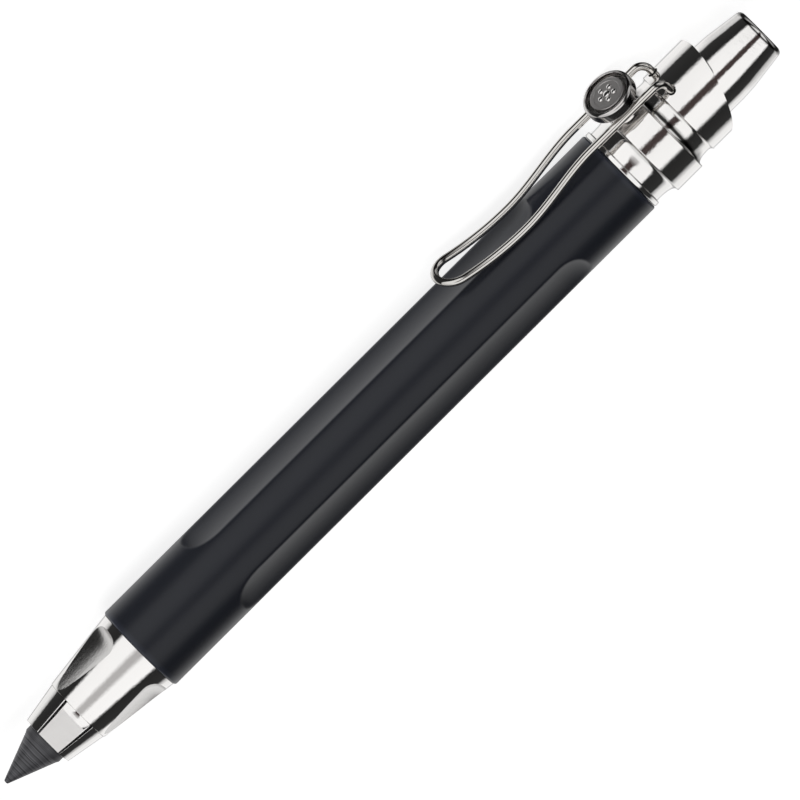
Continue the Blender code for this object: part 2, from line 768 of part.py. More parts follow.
def clip_height(x):
    """The height of the clip's legs: level at the knob, down to the barrel, then up to the tip."""
    share = (x - CLIP_HINGE_X) / CLIP_REACH
    if share <= CLIP_LEVEL_SHARE:
        return CLIP_HEIGHT
    if share <= CLIP_LOW_SHARE:
        fall = (share - CLIP_LEVEL_SHARE) / (CLIP_LOW_SHARE - CLIP_LEVEL_SHARE)
        return CLIP_HEIGHT + (CLIP_LOW - CLIP_HEIGHT) * smooth_step(fall)
    rise = (share - CLIP_LOW_SHARE) / (1 - CLIP_LOW_SHARE)
    return CLIP_LOW + CLIP_TIP_RISE * rise**2


def clip_leg(side):
    """One leg from the tip of its hook to where the U-turn starts."""
    hook_y = side * CLIP_HOOK_SPREAD / 2
    leg_y = side * CLIP_SPREAD / 2
    points = [(CLIP_HINGE_X, hook_y, CLIP_HINGE_Z - HOOK_DEPTH)]
    bend_z = CLIP_HEIGHT - CLIP_BEND_R
    bend_steps = 6
    for step in range(bend_steps + 1):
        turn = step / bend_steps * 90 * DEG
        share = smooth_step(step / bend_steps)
        x = CLIP_HINGE_X + CLIP_BEND_R * (1 - math.cos(turn))
        z = bend_z + CLIP_BEND_R * math.sin(turn)
        points.append((x, hook_y + (leg_y - hook_y) * share, z))
    start = CLIP_HINGE_X + CLIP_BEND_R
    end = CLIP_HINGE_X + CLIP_REACH - CLIP_SPREAD / 2
    leg_steps = 20
    for step in range(1, leg_steps + 1):
        x = start + (end - start) * step / leg_steps
        points.append((x, leg_y, clip_height(x)))
    return points


def make_clip_wire():
    near = clip_leg(-1)
    far = clip_leg(1)
    centre = CLIP_HINGE_X + CLIP_REACH - CLIP_SPREAD / 2
    turn_steps = 12
    bow = []
    for step in range(1, turn_steps):
        angle = step / turn_steps * 180 * DEG
        x = centre + CLIP_SPREAD / 2 * math.sin(angle)
        bow.append((x, -CLIP_SPREAD / 2 * math.cos(angle), clip_height(x)))
    hinge = Vector((CLIP_HINGE_X, 0, CLIP_HINGE_Z))
    points = [Vector(point) - hinge for point in [*near, *bow, *reversed(far)]]
    wire("clip_wire", points, CLIP_WIRE_R, BRIGHT_WIRE, None, Matrix.Translation(hinge))


def make_knob():
    rim_r = KNOB_R - KNOB_RIM
    stem_end = RING_BORE_R + SEAT_GAP
    post_foot = BASE_TOP + SEAT_GAP
    recess_floor = KNOB_TOP - KNOB_RECESS
    outline = [
        (recess_floor, 0.0),
        (recess_floor, rim_r),
        (KNOB_TOP - KNOB_RIM / 4, rim_r),
        (KNOB_TOP, rim_r + KNOB_RIM / 4),
        *corner((KNOB_TOP, KNOB_R - KNOB_ROUND), (KNOB_TOP - KNOB_ROUND, KNOB_R)),
        *corner((KNOB_UNDER + KNOB_ROUND / 2, KNOB_R), (KNOB_UNDER, KNOB_R - KNOB_ROUND / 2)),
        (KNOB_UNDER, KNOB_POST_R),
        (post_foot, KNOB_POST_R),
        (post_foot, KNOB_STEM_R),
        (stem_end, KNOB_STEM_R),
        (stem_end, 0.0),
    ]
    knob = add_piece("clip_knob", profile_mesh("clip_knob", outline, False), DARK_CHROME)
    knob.matrix_basis = at(KNOB_X, 0, 0)
    spin(knob, INNER_SIDES)


def make_knob_disc():
    disc_r = KNOB_R - KNOB_RIM - DISC_GROOVE
    foot = KNOB_TOP - KNOB_RECESS + SEAT_GAP
    top = foot + DISC_THICKNESS
    edge = DISC_THICKNESS / 4
    outline = [(top, 0.0), (top, disc_r - edge), (top - edge, disc_r), (foot, disc_r), (foot, 0.0)]
    disc = add_piece("knob_disc", profile_mesh("knob_disc", outline, False), DARK_CHROME)
    disc.matrix_basis = at(KNOB_X, 0, 0)
    spin(disc, SMALL_SIDES)


def make_clip_base():
    foot = BASE_FLOOR + SEAT_GAP
    hole = KNOB_STEM_R + FIT
    outline = [
        (BASE_TOP, BASE_R - BASE_THICKNESS / 5),
        (BASE_TOP - BASE_THICKNESS / 5, BASE_R),
        (foot, BASE_R),
        (foot, hole),
        (BASE_TOP, hole),
    ]
    base = add_piece("clip_base", profile_mesh("clip_base", outline, True), NICKEL)
    base.matrix_basis = at(KNOB_X, 0, 0)
    spin(base, SMALL_SIDES)


clear_scene()
PARTS = new_collection("lead_holder")
CUTTERS = new_collection("cutters")
GUIDES = new_collection("guides")
PEN = empty("pen_axis", Matrix.Rotation(REST_ROLL, 4, "X"))

LACQUER = finish("black_lacquer", (0.018, 0.018, 0.022), 0.0, 0.45)
NICKEL = finish("nickel_plate", (0.78, 0.76, 0.73), 1.0, 0.15)
DARK_CHROME = finish("dark_chrome", (0.32, 0.31, 0.31), 1.0, 0.22)
BRIGHT_WIRE = finish("bright_wire", (0.72, 0.70, 0.67), 1.0, 0.18)
BRASS = finish("brass", (0.72, 0.56, 0.28), 1.0, 0.3)
SPRING_STEEL = finish("spring_steel", (0.5, 0.5, 0.5), 1.0, 0.3)
GRAPHITE = finish("graphite", (0.09, 0.09, 0.095), 0.2, 0.5)

make_lead()
make_lead_tube()
make_spring_stop()
make_return_spring()
make_spring_washer()
make_chuck_sleeve()
for jaw_index in range(JAW_COUNT):
    make_jaw(jaw_index)
make_barrel()
make_nose_cone()
make_rear_ferrule()
make_clip_ring()
make_tail_collar()
make_push_cap()
make_sharpener()
make_clip_wire()
make_knob()
make_knob_disc()
make_clip_base()
bpy.context.view_layer.update()
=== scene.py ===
"""Clutch lead holder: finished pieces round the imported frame, their finishes, the stage and the camera.

The pen's axis is X, with the push cap's end at the origin and the lead's point at +X. Every piece is
shaped with the clip straight above the axis (+Z) and is then rolled over with the rest of the pen.
"""

import json
import math
from functools import partial

import bmesh
import bpy
from mathutils import Matrix, Vector


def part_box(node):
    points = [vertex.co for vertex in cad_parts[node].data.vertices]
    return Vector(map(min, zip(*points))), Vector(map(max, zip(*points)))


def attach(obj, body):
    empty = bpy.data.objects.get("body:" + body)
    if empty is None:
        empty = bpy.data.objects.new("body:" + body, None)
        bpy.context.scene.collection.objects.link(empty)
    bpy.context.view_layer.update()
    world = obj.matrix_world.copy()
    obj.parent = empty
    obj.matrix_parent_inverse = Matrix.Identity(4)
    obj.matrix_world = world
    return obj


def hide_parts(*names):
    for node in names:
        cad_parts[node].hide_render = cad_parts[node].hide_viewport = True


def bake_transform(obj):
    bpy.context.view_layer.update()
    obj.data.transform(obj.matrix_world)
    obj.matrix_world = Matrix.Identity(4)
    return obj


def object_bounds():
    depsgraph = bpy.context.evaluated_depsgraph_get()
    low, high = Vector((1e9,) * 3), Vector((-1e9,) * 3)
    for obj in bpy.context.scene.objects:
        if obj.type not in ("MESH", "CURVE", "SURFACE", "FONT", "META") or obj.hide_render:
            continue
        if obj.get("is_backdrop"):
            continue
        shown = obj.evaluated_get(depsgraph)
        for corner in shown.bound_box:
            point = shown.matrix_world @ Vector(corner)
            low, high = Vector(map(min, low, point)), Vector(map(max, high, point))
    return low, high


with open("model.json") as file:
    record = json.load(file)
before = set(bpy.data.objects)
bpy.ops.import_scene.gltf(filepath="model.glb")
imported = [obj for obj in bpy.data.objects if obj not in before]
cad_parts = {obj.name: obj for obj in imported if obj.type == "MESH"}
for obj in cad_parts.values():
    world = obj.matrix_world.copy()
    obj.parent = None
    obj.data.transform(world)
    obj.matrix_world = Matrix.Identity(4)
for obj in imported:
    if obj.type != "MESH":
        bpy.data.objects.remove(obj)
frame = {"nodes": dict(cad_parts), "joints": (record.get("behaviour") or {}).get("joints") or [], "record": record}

bl_info = {
    "name": "Clutch lead holder",
    "version": (1, 0, 0),
    "blender": (4, 5, 0),
    "location": "3D View > Sidebar > Lead holder",
    "description": "Builds the finished pieces of a clutch lead holder around its frame",
    "category": "Object",
}

MM = 0.001
DEG = math.pi / 180
SIDES = 192
FINE_SIDES = 240
CUTTER_SIDES = 720
ARC_STEPS = 8
MERGE = 1e-7
SAME_PLACE = 2e-5
SEAM = 0.03 * MM
FREE = 0.05 * MM
LOCK_SLOPE = 0.1
SHARPENER_HOLE_R = 0.4 * MM
BLADE_HALF_WIDTH = 0.4 * MM
BLADE_THICKNESS = 0.35 * MM
BLADE_INSET = 0.9 * MM
BLADE_EDGE = 0.03 * MM
SLOT_MARGIN = 0.1 * MM
SPINDLE_LIFT = 0.5 * MM
CLOSED_PITCH = 2.2
MIDDLE_PIP_SCALE = (1.35, 1.35, 1.0)

# Finishes
COARSE_WEIGHT = 1.6
MASK_TOP = 0.75
WORN_WIDTH = 0.9 * MM
FLOOR_GLOW = 0.82
SOCKETS = {float: "NodeSocketFloat", int: "NodeSocketInt", tuple: "NodeSocketVector"}

# The clip's legs: the shares of their length where the level part ends and where they are lowest
LEVEL_SHARE = 0.33
LOW_SHARE = 0.665

# The light: how bright the sky is at each turn about the pen's axis, in degrees from the camera's side
SKY = {
    **{-180: 0.15, -166: 0.5, -148: 0.95, -120: 0.9, -106: 0.6, -100: 0.03, -57: 0.02, -50: 0.98},
    **{57: 1.0, 64: 0.02, 105: 0.03, 112: 0.5, 124: 0.88, 152: 0.95, 168: 0.5, 180: 0.15},
}
STRIPE_TURN = 6.5
STRIPE_COLOUR = (0.055, 0.04, 0.039, 1.0)

# The camera: what it looks at and where it stands, as shares of the pen's length
AIM_SHARE = 0.4842
AIM_RAISE = 0.857 * MM
STAND_SHARE = 0.2193
SENSOR = 36.0


# What the frame says


def joint(name):
    return next(item for item in frame["joints"] if item["name"] == name)


CLIP_AXIS = joint("clip_lift")["axis"]
ROLL = math.atan2(-CLIP_AXIS[2], -CLIP_AXIS[1])
PEN = Matrix.Rotation(ROLL, 4, "X")
BODY_OF = {node: body for body, nodes in frame["record"]["behaviour"]["bodies"].items() for node in nodes}


def corners(node):
    """A CAD node's points with the clip straight up."""
    back = PEN.inverted()
    return [back @ vert.co for vert in frame["nodes"][node].data.vertices]


def span(node, axis=0):
    """A node's lowest and highest place along one of the pen's axes."""
    places = [point[axis] for point in corners(node)]
    return min(places), max(places)


def off_axis(point):
    return math.hypot(point.y, point.z)


def widest(node):
    return max(off_axis(point) for point in corners(node))


def narrowest(node):
    return min(off_axis(point) for point in corners(node))


def radii_at(node, x):
    """The inner and outer radius of a node at one of its edges along the pen."""
    found = [off_axis(point) for point in corners(node) if abs(point.x - x) < SAME_PLACE]
    return min(found), max(found)


def half_width(node, axis=0):
    low, high = span(node, axis)
    return (high - low) / 2


BARREL_REAR, BARREL_FRONT = span("barrel")
BARREL_R = widest("barrel")
BARREL_BORE_R = narrowest("barrel")
SOCKET_R = radii_at("barrel", BARREL_REAR)[0]
NOSE_SPIGOT, NOSE_FRONT = span("nose_cone")
NOSE_BORE_R, SPIGOT_R = radii_at("nose_cone", NOSE_SPIGOT)
MOUTH_R, NOSE_TIP_R = radii_at("nose_cone", NOSE_FRONT)
JAW_REAR, JAW_FRONT = span("chuck_jaw_1")
STEM_BORE_R, STEM_R = radii_at("chuck_jaw_1", JAW_REAR)
JAW_BORE_R, JAW_EDGE_R = radii_at("chuck_jaw_1", JAW_FRONT)
SHOULDER_R = widest("chuck_jaw_1")
LEAD_REAR, LEAD_FRONT = span("lead")
LEAD_R = widest("lead")
TUBE_FRONT = span("lead_tube")[1]
TUBE_R = widest("lead_tube")
SHAFT_REAR, FERRULE_FRONT = span("rear_ferrule")
FERRULE_BORE_R, SHAFT_R = radii_at("rear_ferrule", SHAFT_REAR)
RING_REAR, RING_FRONT = span("clip_ring")
RING_R = min(abs(value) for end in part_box("clip_ring") for value in end[1:])
RING_BORE_R = radii_at("clip_ring", RING_FRONT)[0]
TAIL_REAR = span("tail_collar")[0]
TAIL_R = widest("tail_collar")
CAP_FRONT = span("push_cap")[1]
CAP_R = widest("push_cap")
CAP_BORE_R = radii_at("push_cap", CAP_FRONT)[0]
SHARPENER_REAR, SHARPENER_FRONT = span("sharpener_insert")
SHARPENER_R = widest("sharpener_insert")
SPRING_REAR, SPRING_FRONT = span("return_spring")
HINGE = PEN.inverted() @ Vector(joint("clip_lift")["pos_m"])
WIRE_END = span("clip_wire")[1]
WIRE_WIDTH = 2 * half_width("clip_wire", 1)
KNOB_X = (RING_REAR + RING_FRONT) / 2
KNOB_FOOT, KNOB_TOP = span("clip_knob", 2)
KNOB_R = half_width("clip_knob") - SEAM / 3
DISC_FOOT, DISC_TOP = span("knob_disc", 2)
DISC_R = half_width("knob_disc")
BASE_FOOT, BASE_TOP = span("clip_base", 2)
BASE_R = half_width("clip_base")


# Sizes and colours that a user would change


def length(name, description, millimetres, most=100.0):
    return bpy.props.FloatProperty(
        name=name,
        description=description,
        default=millimetres * MM,
        min=0.0,
        max=most * MM,
        precision=5,
        subtype="DISTANCE",
        unit="LENGTH",
    )


def angle(name, description, degrees):
    return bpy.props.FloatProperty(
        name=name, description=description, default=degrees * DEG, subtype="ANGLE", unit="ROTATION"
    )


def colour(name, description, value):
    return bpy.props.FloatVectorProperty(
        name=name, description=description, default=value, size=3, min=0.0, max=1.0, subtype="COLOR"
    )


class LeadHolderSizes(bpy.types.PropertyGroup):
    """Sizes of the finished pieces that the frame leaves open."""

    flute_count: bpy.props.IntProperty(
        name="Flutes", description="Finger flutes round the barrel", default=3, min=0, max=8
    )
    flute_turn: angle("Flute turn", "Turn of the first flute from the clip", 12.0)
    flute_depth: length("Flute depth", "How deep a flute is ground", 1.0, 2.0)
    flute_sweep: length("Flute sweep", "Radius of a flute's hollow", 17.0)
    flute_rear: length("Flute rear inset", "From the barrel's rear end to a flute", 10.3)
    flute_front: length("Flute front inset", "From the barrel's front end to a flute", 12.5)
    flute_rear_ramp: length("Flute rear ramp", "Run-out of a flute at its rear", 3.4)
    flute_front_ramp: length("Flute front ramp", "Run-out of a flute at its front", 4.8)
    flute_softness: length("Flute softness", "Rounding of a flute's edges under the lacquer", 0.3, 2.0)
    barrel_round: length("Barrel round", "Rounding of the barrel's ends", 0.3, 2.0)
    socket_depth: length("Socket depth", "Depth of the barrel's end sockets", 7.0)
    edge: length("Edge", "Rounding of the plated pieces' edges", 0.07, 1.0)
    nose_step: length("Nose step", "Step down from the barrel to the nose cone", 0.25, 1.0)
    scoop_turn: angle("Scoop turn", "Turn of the first scoop from the clip", 2.0)
    scoop_sweep: length("Scoop sweep", "Radius of a scoop's hollow", 10.0)
    scoop_rise: length("Scoop rise", "Height of a scoop's floor over the mouth", 0.04, 2.0)
    scoop_inset: length("Scoop inset", "From the nose cone's rear end to a scoop", 0.9)
    scoop_round: length("Scoop round", "Run-out of a scoop at its rear", 2.1)
    slit: length("Slit", "Gap between neighbouring jaws", 0.3, 1.0)
    jaw_edge: length("Jaw edge", "Rounding of a jaw's edges", 0.04, 0.3)
    jaw_flat: length("Jaw flat", "Length of the flat on every other jaw", 4.25)
    lock_length: length("Lock length", "Length of the jaws' locking cone", 5.1)
    point_length: length("Point length", "Length of the lead's sharpened cone", 6.4)
    point_radius: length("Point radius", "Radius of the lead's worn point", 0.34, 1.0)
    flange_width: length("Flange width", "Width of the rear ferrule's flange", 0.7)
    flange_step: length("Flange step", "Step down from the barrel to the flange", 0.08, 1.0)
    neck_drop: length("Neck drop", "Depth of the necks", 0.35, 1.0)
    neck_flare: length("Neck flare", "How far the necks flare at the clip ring", 0.25, 1.0)
    collar_slant: angle("Collar slant", "Slant of the tail collar's rear face", 20.4)
    hook_inset: length("Hook inset", "From the clip's hooks to the collar's front", 1.0)
    hook_hole: length("Hook hole", "Radius of the holes for the clip's hooks", 0.7, 2.0)
    cap_taper: length("Cap taper", "Length of the push cap's tapered end", 6.3)
    cap_drop: length("Cap drop", "How much the push cap narrows", 0.7, 2.0)
    cap_round: length("Cap round", "Rounding of the push cap's rim", 0.8, 2.0)
    cap_wall: length("Cap end wall", "Thickness of the push cap's end", 1.2, 5.0)
    wire_radius: length("Wire radius", "Radius of the clip's wire", 0.515, 2.0)
    wire_toe_in: length("Wire toe-in", "How far each hook leans inwards", 0.25, 2.0)
    wire_level: length("Wire level", "Height of the legs over the clip ring", 1.3, 5.0)
    wire_bend: length("Wire bend", "Radius of the bend above a hook", 1.5, 5.0)
    wire_gap: length("Wire gap", "Gap between the clip's lowest point and the barrel", 0.16, 2.0)
    wire_tip_rise: length("Wire tip rise", "How far the clip's tip rises", 2.2, 10.0)
    hook_depth: length("Hook depth", "How deep a hook reaches into the collar", 0.6, 2.0)
    knob_thickness: length("Knob thickness", "Thickness of the knob's head", 1.69, 5.0)
    knob_round: length("Knob round", "Rounding of the knob's head", 0.5, 2.0)
    knob_rim: length("Knob rim", "Width of the knob's rim", 0.5, 2.0)
    knob_recess: length("Knob recess", "Depth of the recess that holds the disc", 0.75, 2.0)
    post_radius: length("Post radius", "Radius of the knob's post between the legs", 1.75, 4.0)
    stem_radius: length("Stem radius", "Radius of the knob's stem", 1.1, 4.0)
    pip_count: bpy.props.IntProperty(
        name="Pips",
        description="Raised pips round the middle of the knob's disc",
        default=5,
        min=0,
        max=24,
    )
    pip_radius: length("Pip radius", "Radius of a pip on the knob's disc", 0.38, 1.0)
    pip_circle: length("Pip circle", "Radius of the ring of pips", 1.0, 3.0)
    spring_wire: length("Spring wire", "Radius of the return spring's wire", 0.25, 1.0)
    spring_turns: bpy.props.IntProperty(
        name="Spring turns", description="Turns of the return spring", default=9, min=4, max=40
    )


class LeadHolderColours(bpy.types.PropertyGroup):
    """Colours of the finishes."""

    lacquer: colour("Lacquer", "Black satin lacquer of the barrel", (0.0145, 0.0165, 0.0235))
    nickel: colour("Nickel", "Bright nickel plate", (0.93, 0.915, 0.9))
    dark_chrome: colour("Dark chrome", "Gunmetal chrome of the clip knob", (0.66, 0.64, 0.63))
    wire: colour("Wire", "Plated spring wire of the clip", (0.74, 0.72, 0.69))
    brass: colour("Brass", "Turned brass of the inner pieces", (0.78, 0.58, 0.27))
    steel: colour("Spring steel", "Tempered spring steel", (0.42, 0.41, 0.4))
    graphite: colour("Graphite", "Drawing lead", (0.05, 0.05, 0.054))
    floor: colour("Floor", "Pale floor", (0.6, 0.6, 0.6))


# Node trees


def fill(tree, node, inputs):
    """Sets a node's inputs. Each takes a value, or an output of another node."""
    pairs = inputs.items() if isinstance(inputs, dict) else enumerate(inputs)
    for key, value in pairs:
        if isinstance(value, bpy.types.NodeSocket):
            tree.links.new(value, node.inputs[key])
        else:
            node.inputs[key].default_value = value


def add(tree, kind, inputs=(), **settings):
    node = tree.nodes.new(kind)
    for name, value in settings.items():
        setattr(node, name, value)
    fill(tree, node, inputs)
    return node


def maths(tree, operation, *values, clamp=False):
    return add(tree, "ShaderNodeMath", values, operation=operation, use_clamp=clamp).outputs[0]


def vector_maths(tree, operation, *values):
    node = add(tree, "ShaderNodeVectorMath", values, operation=operation)
    return node.outputs["Value" if operation in ("DOT_PRODUCT", "LENGTH") else "Vector"]


def ranged(tree, value, start, end, low=0.0, high=1.0, **settings):
    """A value that goes from low to high as another one goes from start to end."""
    limits = {"Value": value, "From Min": start, "From Max": end, "To Min": low, "To Max": high}
    return add(tree, "ShaderNodeMapRange", limits, **settings).outputs[0]


def between(tree, mask, low, high):
    """A value that goes from low to high with a mask."""
    return ranged(tree, mask, 0.0, 1.0, low, high)


def noise(tree, vector, scale, **others):
    return add(tree, "ShaderNodeTexNoise", {"Vector": vector, "Scale": scale, **others}).outputs[0]


def object_place(tree):
    return add(tree, "ShaderNodeTexCoord").outputs["Object"]


def group_inputs(tree, defaults):
    """Adds a group's named inputs with their defaults. Returns their identifiers by name."""
    made = {}
    for name, value in defaults.items():
        kind = SOCKETS[type(value)]
        socket = tree.interface.new_socket(name=name, in_out="INPUT", socket_type=kind)
        socket.default_value = value
        made[name] = socket.identifier
    return made


# Effects that more than one finish uses


def shader_group(name, inputs, output):
    """An empty effect. Returns it, its inputs and the socket that takes what it puts out."""
    tree = bpy.data.node_groups.new(name, "ShaderNodeTree")
    group_inputs(tree, inputs)
    tree.interface.new_socket(name=output, in_out="OUTPUT", socket_type="NodeSocketFloat")
    ins = tree.nodes.new("NodeGroupInput").outputs
    return tree, ins, tree.nodes.new("NodeGroupOutput").inputs[output]


def peel_group(name):
    """The fine ripple that plating and lacquer keep from the metal under them."""
    tree, ins, out = shader_group(name, {"Scale": 2500.0, "Coarse Scale": 700.0}, "Height")
    place = object_place(tree)
    fine = noise(tree, place, ins["Scale"], Detail=2.0)
    coarse = noise(tree, place, ins["Coarse Scale"], Detail=1.0)
    tree.links.new(maths(tree, "MULTIPLY_ADD", coarse, COARSE_WEIGHT, fine), out)
    return tree


def handling_group(name):
    """Faint smears and finger marks, as a mask from 0 to 1."""
    tree, ins, out = shader_group(name, {"Scale": 120.0, "Cover": 0.5}, "Mask")
    place = object_place(tree)
    stretch = add(tree, "ShaderNodeMapping", {"Vector": place, "Scale": (0.35, 1.0, 1.0)}).outputs[0]
    cloud = noise(tree, stretch, ins["Scale"], Detail=4.0, Distortion=0.7)
    low = maths(tree, "SUBTRACT", 0.9, ins["Cover"])
    tree.links.new(ranged(tree, cloud, low, MASK_TOP), out)
    return tree


def scratch_group(name):
    """Hairline scratches that run one way, as a mask from 0 to 1."""
    inputs = {"Stretch": (60.0, 4000.0, 4000.0), "Turn": (0.0, 0.0, 0.0), "Cover": 0.3}
    tree, ins, out = shader_group(name, inputs, "Mask")
    place = object_place(tree)
    aligned = add(tree, "ShaderNodeMapping", {"Vector": place, "Rotation": ins["Turn"]}).outputs[0]
    streaks = noise(tree, vector_maths(tree, "MULTIPLY", aligned, ins["Stretch"]), 1.0, Detail=3.0)
    low = maths(tree, "SUBTRACT", 0.85, ins["Cover"])
    tree.links.new(ranged(tree, streaks, low, MASK_TOP), out)
    return tree


def lathe_group(name):
    """Rings that a lathe tool leaves, as a height from 0 to 1. They follow each other along the axis, or
    where Facing is 1 outwards from it."""
    inputs = {
        "Pitch": 9000.0,
        "Wander": 0.05,
        "Centre": (0.0, 0.0, 0.0),
        "Axis": (1.0, 0.0, 0.0),
        "Facing": 0.0,
    }
    tree, ins, height = shader_group(name, inputs, "Height")
    do = partial(maths, tree)
    place = object_place(tree)
    out = vector_maths(tree, "SUBTRACT", place, ins["Centre"])
    on_axis = vector_maths(tree, "DOT_PRODUCT", out, ins["Axis"])
    radius = vector_maths(tree, "LENGTH", vector_maths(tree, "CROSS_PRODUCT", out, ins["Axis"]))
    where = add(tree, "ShaderNodeMix", {"Factor": ins["Facing"], "A": on_axis, "B": radius}).outputs[0]
    pushed = do("MULTIPLY", noise(tree, place, 400.0), do("MULTIPLY", ins["Wander"], MM))
    rings = add(
        tree,
        "ShaderNodeTexNoise",
        {"W": do("MULTIPLY", do("ADD", where, pushed), ins["Pitch"]), "Scale": 1.0, "Detail": 2.0},
        noise_dimensions="1D",
    )
    tree.links.new(rings.outputs[0], height)
    return tree


EFFECTS = {
    "peel": peel_group,
    "handling": handling_group,
    "hairlines": scratch_group,
    "lathe": lathe_group,
}


def effect(tree, kind, inputs):
    """Places a shared effect in a material and returns its output."""
    shared = bpy.data.node_groups.get(kind) or EFFECTS[kind](kind)
    node = add(tree, "ShaderNodeGroup", inputs, node_tree=shared)
    return node.outputs[0]


# Finishes


def blank_material(name):
    material = bpy.data.materials.new(name)
    material.use_nodes = True
    tree = material.node_tree
    return material, tree, tree.nodes["Principled BSDF"]


def blended(tree, mask, first, second):
    mix = add(tree, "ShaderNodeMix", {"Factor": mask}, data_type="RGBA")
    mix.inputs["A"].default_value = (*first, 1.0)
    mix.inputs["B"].default_value = (*second, 1.0)
    return mix.outputs["Result"]


def bumped(tree, height, millimetres, under=None):
    """A bump of a real height, on top of another one."""
    inputs = {"Height": height, "Distance": millimetres * MM, "Strength": 1.0}
    if under is not None:
        inputs["Normal"] = under
    return add(tree, "ShaderNodeBump", inputs).outputs[0]


def shade_of(value, share):
    return tuple(min(1.0, channel * share) for channel in value)


def metal(name, value, rough_range, peel, ripple, lathe, ring_depth, grind=None, grind_depth=0.0):
    """Plated or bare metal, with its own strength of ripple, lathe rings, hairlines and handling marks."""
    material, tree, shader = blank_material(name)
    marks = effect(tree, "handling", {"Scale": 140.0, "Cover": 0.5})
    lines = effect(tree, "hairlines", grind or {"Cover": 0.22})
    waves = effect(tree, "peel", {"Scale": peel, "Coarse Scale": peel * 0.3})
    normal = bumped(tree, waves, ripple)
    normal = bumped(tree, effect(tree, "lathe", lathe), ring_depth, under=normal)
    inputs = {
        "Metallic": 1.0,
        "Base Color": blended(tree, marks, value, shade_of(value, 0.93)),
        "Roughness": maths(tree, "MULTIPLY_ADD", lines, 0.05, between(tree, marks, *rough_range)),
        "Normal": bumped(tree, lines, grind_depth, under=normal),
    }
    fill(tree, shader, inputs)
    return material


def nickel(colours):
    return metal("bright_nickel", colours.nickel, (0.07, 0.11), 3000.0, 0.006, {"Pitch": 6000.0}, 0.0008)


def ground_nickel(colours):
    grind = {"Stretch": (350.0, 2600.0, 2600.0), "Turn": (0.0, 0.0, 1.2), "Cover": 0.5}
    value = shade_of(colours.nickel, 0.74)
    rings = {"Pitch": 9000.0}
    return metal("ground_nickel", value, (0.2, 0.26), 3200.0, 0.003, rings, 0.0004, grind, 0.007)


def jaw_nickel(colours):
    return metal("jaw_nickel", colours.nickel, (0.08, 0.12), 3400.0, 0.006, {"Pitch": 9000.0}, 0.0006)


def jaw_flat(colours):
    grind = {"Stretch": (2600.0, 500.0, 500.0), "Cover": 0.4}
    rings = {"Pitch": 9000.0}
    return metal("jaw_flat", colours.nickel, (0.3, 0.38), 3600.0, 0.006, rings, 0.0, grind, 0.002)


def knob_rings(facing):
    """Lathe rings about the knob's own axis."""
    return {
        "Pitch": 7000.0,
        "Centre": (KNOB_X, 0.0, 0.0),
        "Axis": tuple(PEN @ Vector((0, 0, 1))),
        "Facing": facing,
    }


def dark_chrome(colours):
    return metal("dark_chrome", colours.dark_chrome, (0.14, 0.2), 4600.0, 0.0018, knob_rings(0.0), 0.0006)


def disc_chrome(colours):
    return metal("disc_chrome", colours.dark_chrome, (0.4, 0.48), 4600.0, 0.0016, knob_rings(1.0), 0.003)


def wire_plate(colours):
    drawn = {"Stretch": (120.0, 5200.0, 5200.0), "Cover": 0.3}
    return metal("wire_plate", colours.wire, (0.08, 0.13), 4400.0, 0.0012, {}, 0.0, drawn, 0.0008)


def brass(colours):
    return metal("turned_brass", colours.brass, (0.22, 0.34), 2400.0, 0.0006, {"Pitch": 12000.0}, 0.0012)


def spring_steel(colours):
    return metal("spring_steel", colours.steel, (0.26, 0.38), 3000.0, 0.001, {"Pitch": 8000.0}, 0.0002)


def lacquer(colours):
    """Satin lacquer: very fine grain, faint smears, and ends polished by use."""
    material, tree, shader = blank_material("black_lacquer")
    do = partial(maths, tree)
    marks = effect(tree, "handling", {"Scale": 90.0, "Cover": 0.45})
    along = add(tree, "ShaderNodeSeparateXYZ", (object_place(tree),)).outputs["X"]
    from_middle = do("ABSOLUTE", do("SUBTRACT", along, (BARREL_REAR + BARREL_FRONT) / 2))
    from_end = do("SUBTRACT", (BARREL_FRONT - BARREL_REAR) / 2, from_middle)
    worn = ranged(tree, from_end, 0.0, WORN_WIDTH, 1.0, 0.0)
    grain = effect(tree, "peel", {"Scale": 5200.0, "Coarse Scale": 1500.0})
    hair = effect(tree, "hairlines", {"Stretch": (90.0, 2500.0, 2500.0), "Cover": 0.2})
    inputs = {
        "Specular IOR Level": 0.34,
        "Base Color": blended(tree, worn, colours.lacquer, shade_of(colours.lacquer, 2.2)),
        "Roughness": do("MULTIPLY_ADD", worn, -0.06, between(tree, marks, 0.3, 0.36)),
        "Normal": bumped(tree, hair, -0.0006, under=bumped(tree, grain, 0.0018)),
    }
    fill(tree, shader, inputs)
    return material


def graphite(colours):
    """Lead: rings left by the sharpener, as bumps and as painted sheen streaks in its colour, with a slight
    metallic sheen.
    """
    material, tree, shader = blank_material("graphite")
    rings = effect(tree, "lathe", {"Pitch": 5200.0, "Wander": 0.2})
    # The rings are real sharpener marks. The lighter colour along them is painted sheen, standing in for light
    # caught on the rings.
    rings_with_painted_sheen = maths(tree, "MULTIPLY_ADD", rings, 3.0, -1.0, clamp=True)
    grain = effect(tree, "peel", {"Scale": 5000.0, "Coarse Scale": 1600.0})
    # light is the painted sheen tone of the streaks, and dark is the graphite between them.
    dark, light = shade_of(colours.graphite, 0.7), shade_of(colours.graphite, 2.6)
    inputs = {
        "Metallic": 0.35,
        "Base Color": blended(tree, rings_with_painted_sheen, dark, light),
        "Roughness": between(tree, grain, 0.3, 0.46),
        "Normal": bumped(tree, grain, 0.003, under=bumped(tree, rings, 0.01)),
    }
    fill(tree, shader, inputs)
    return material


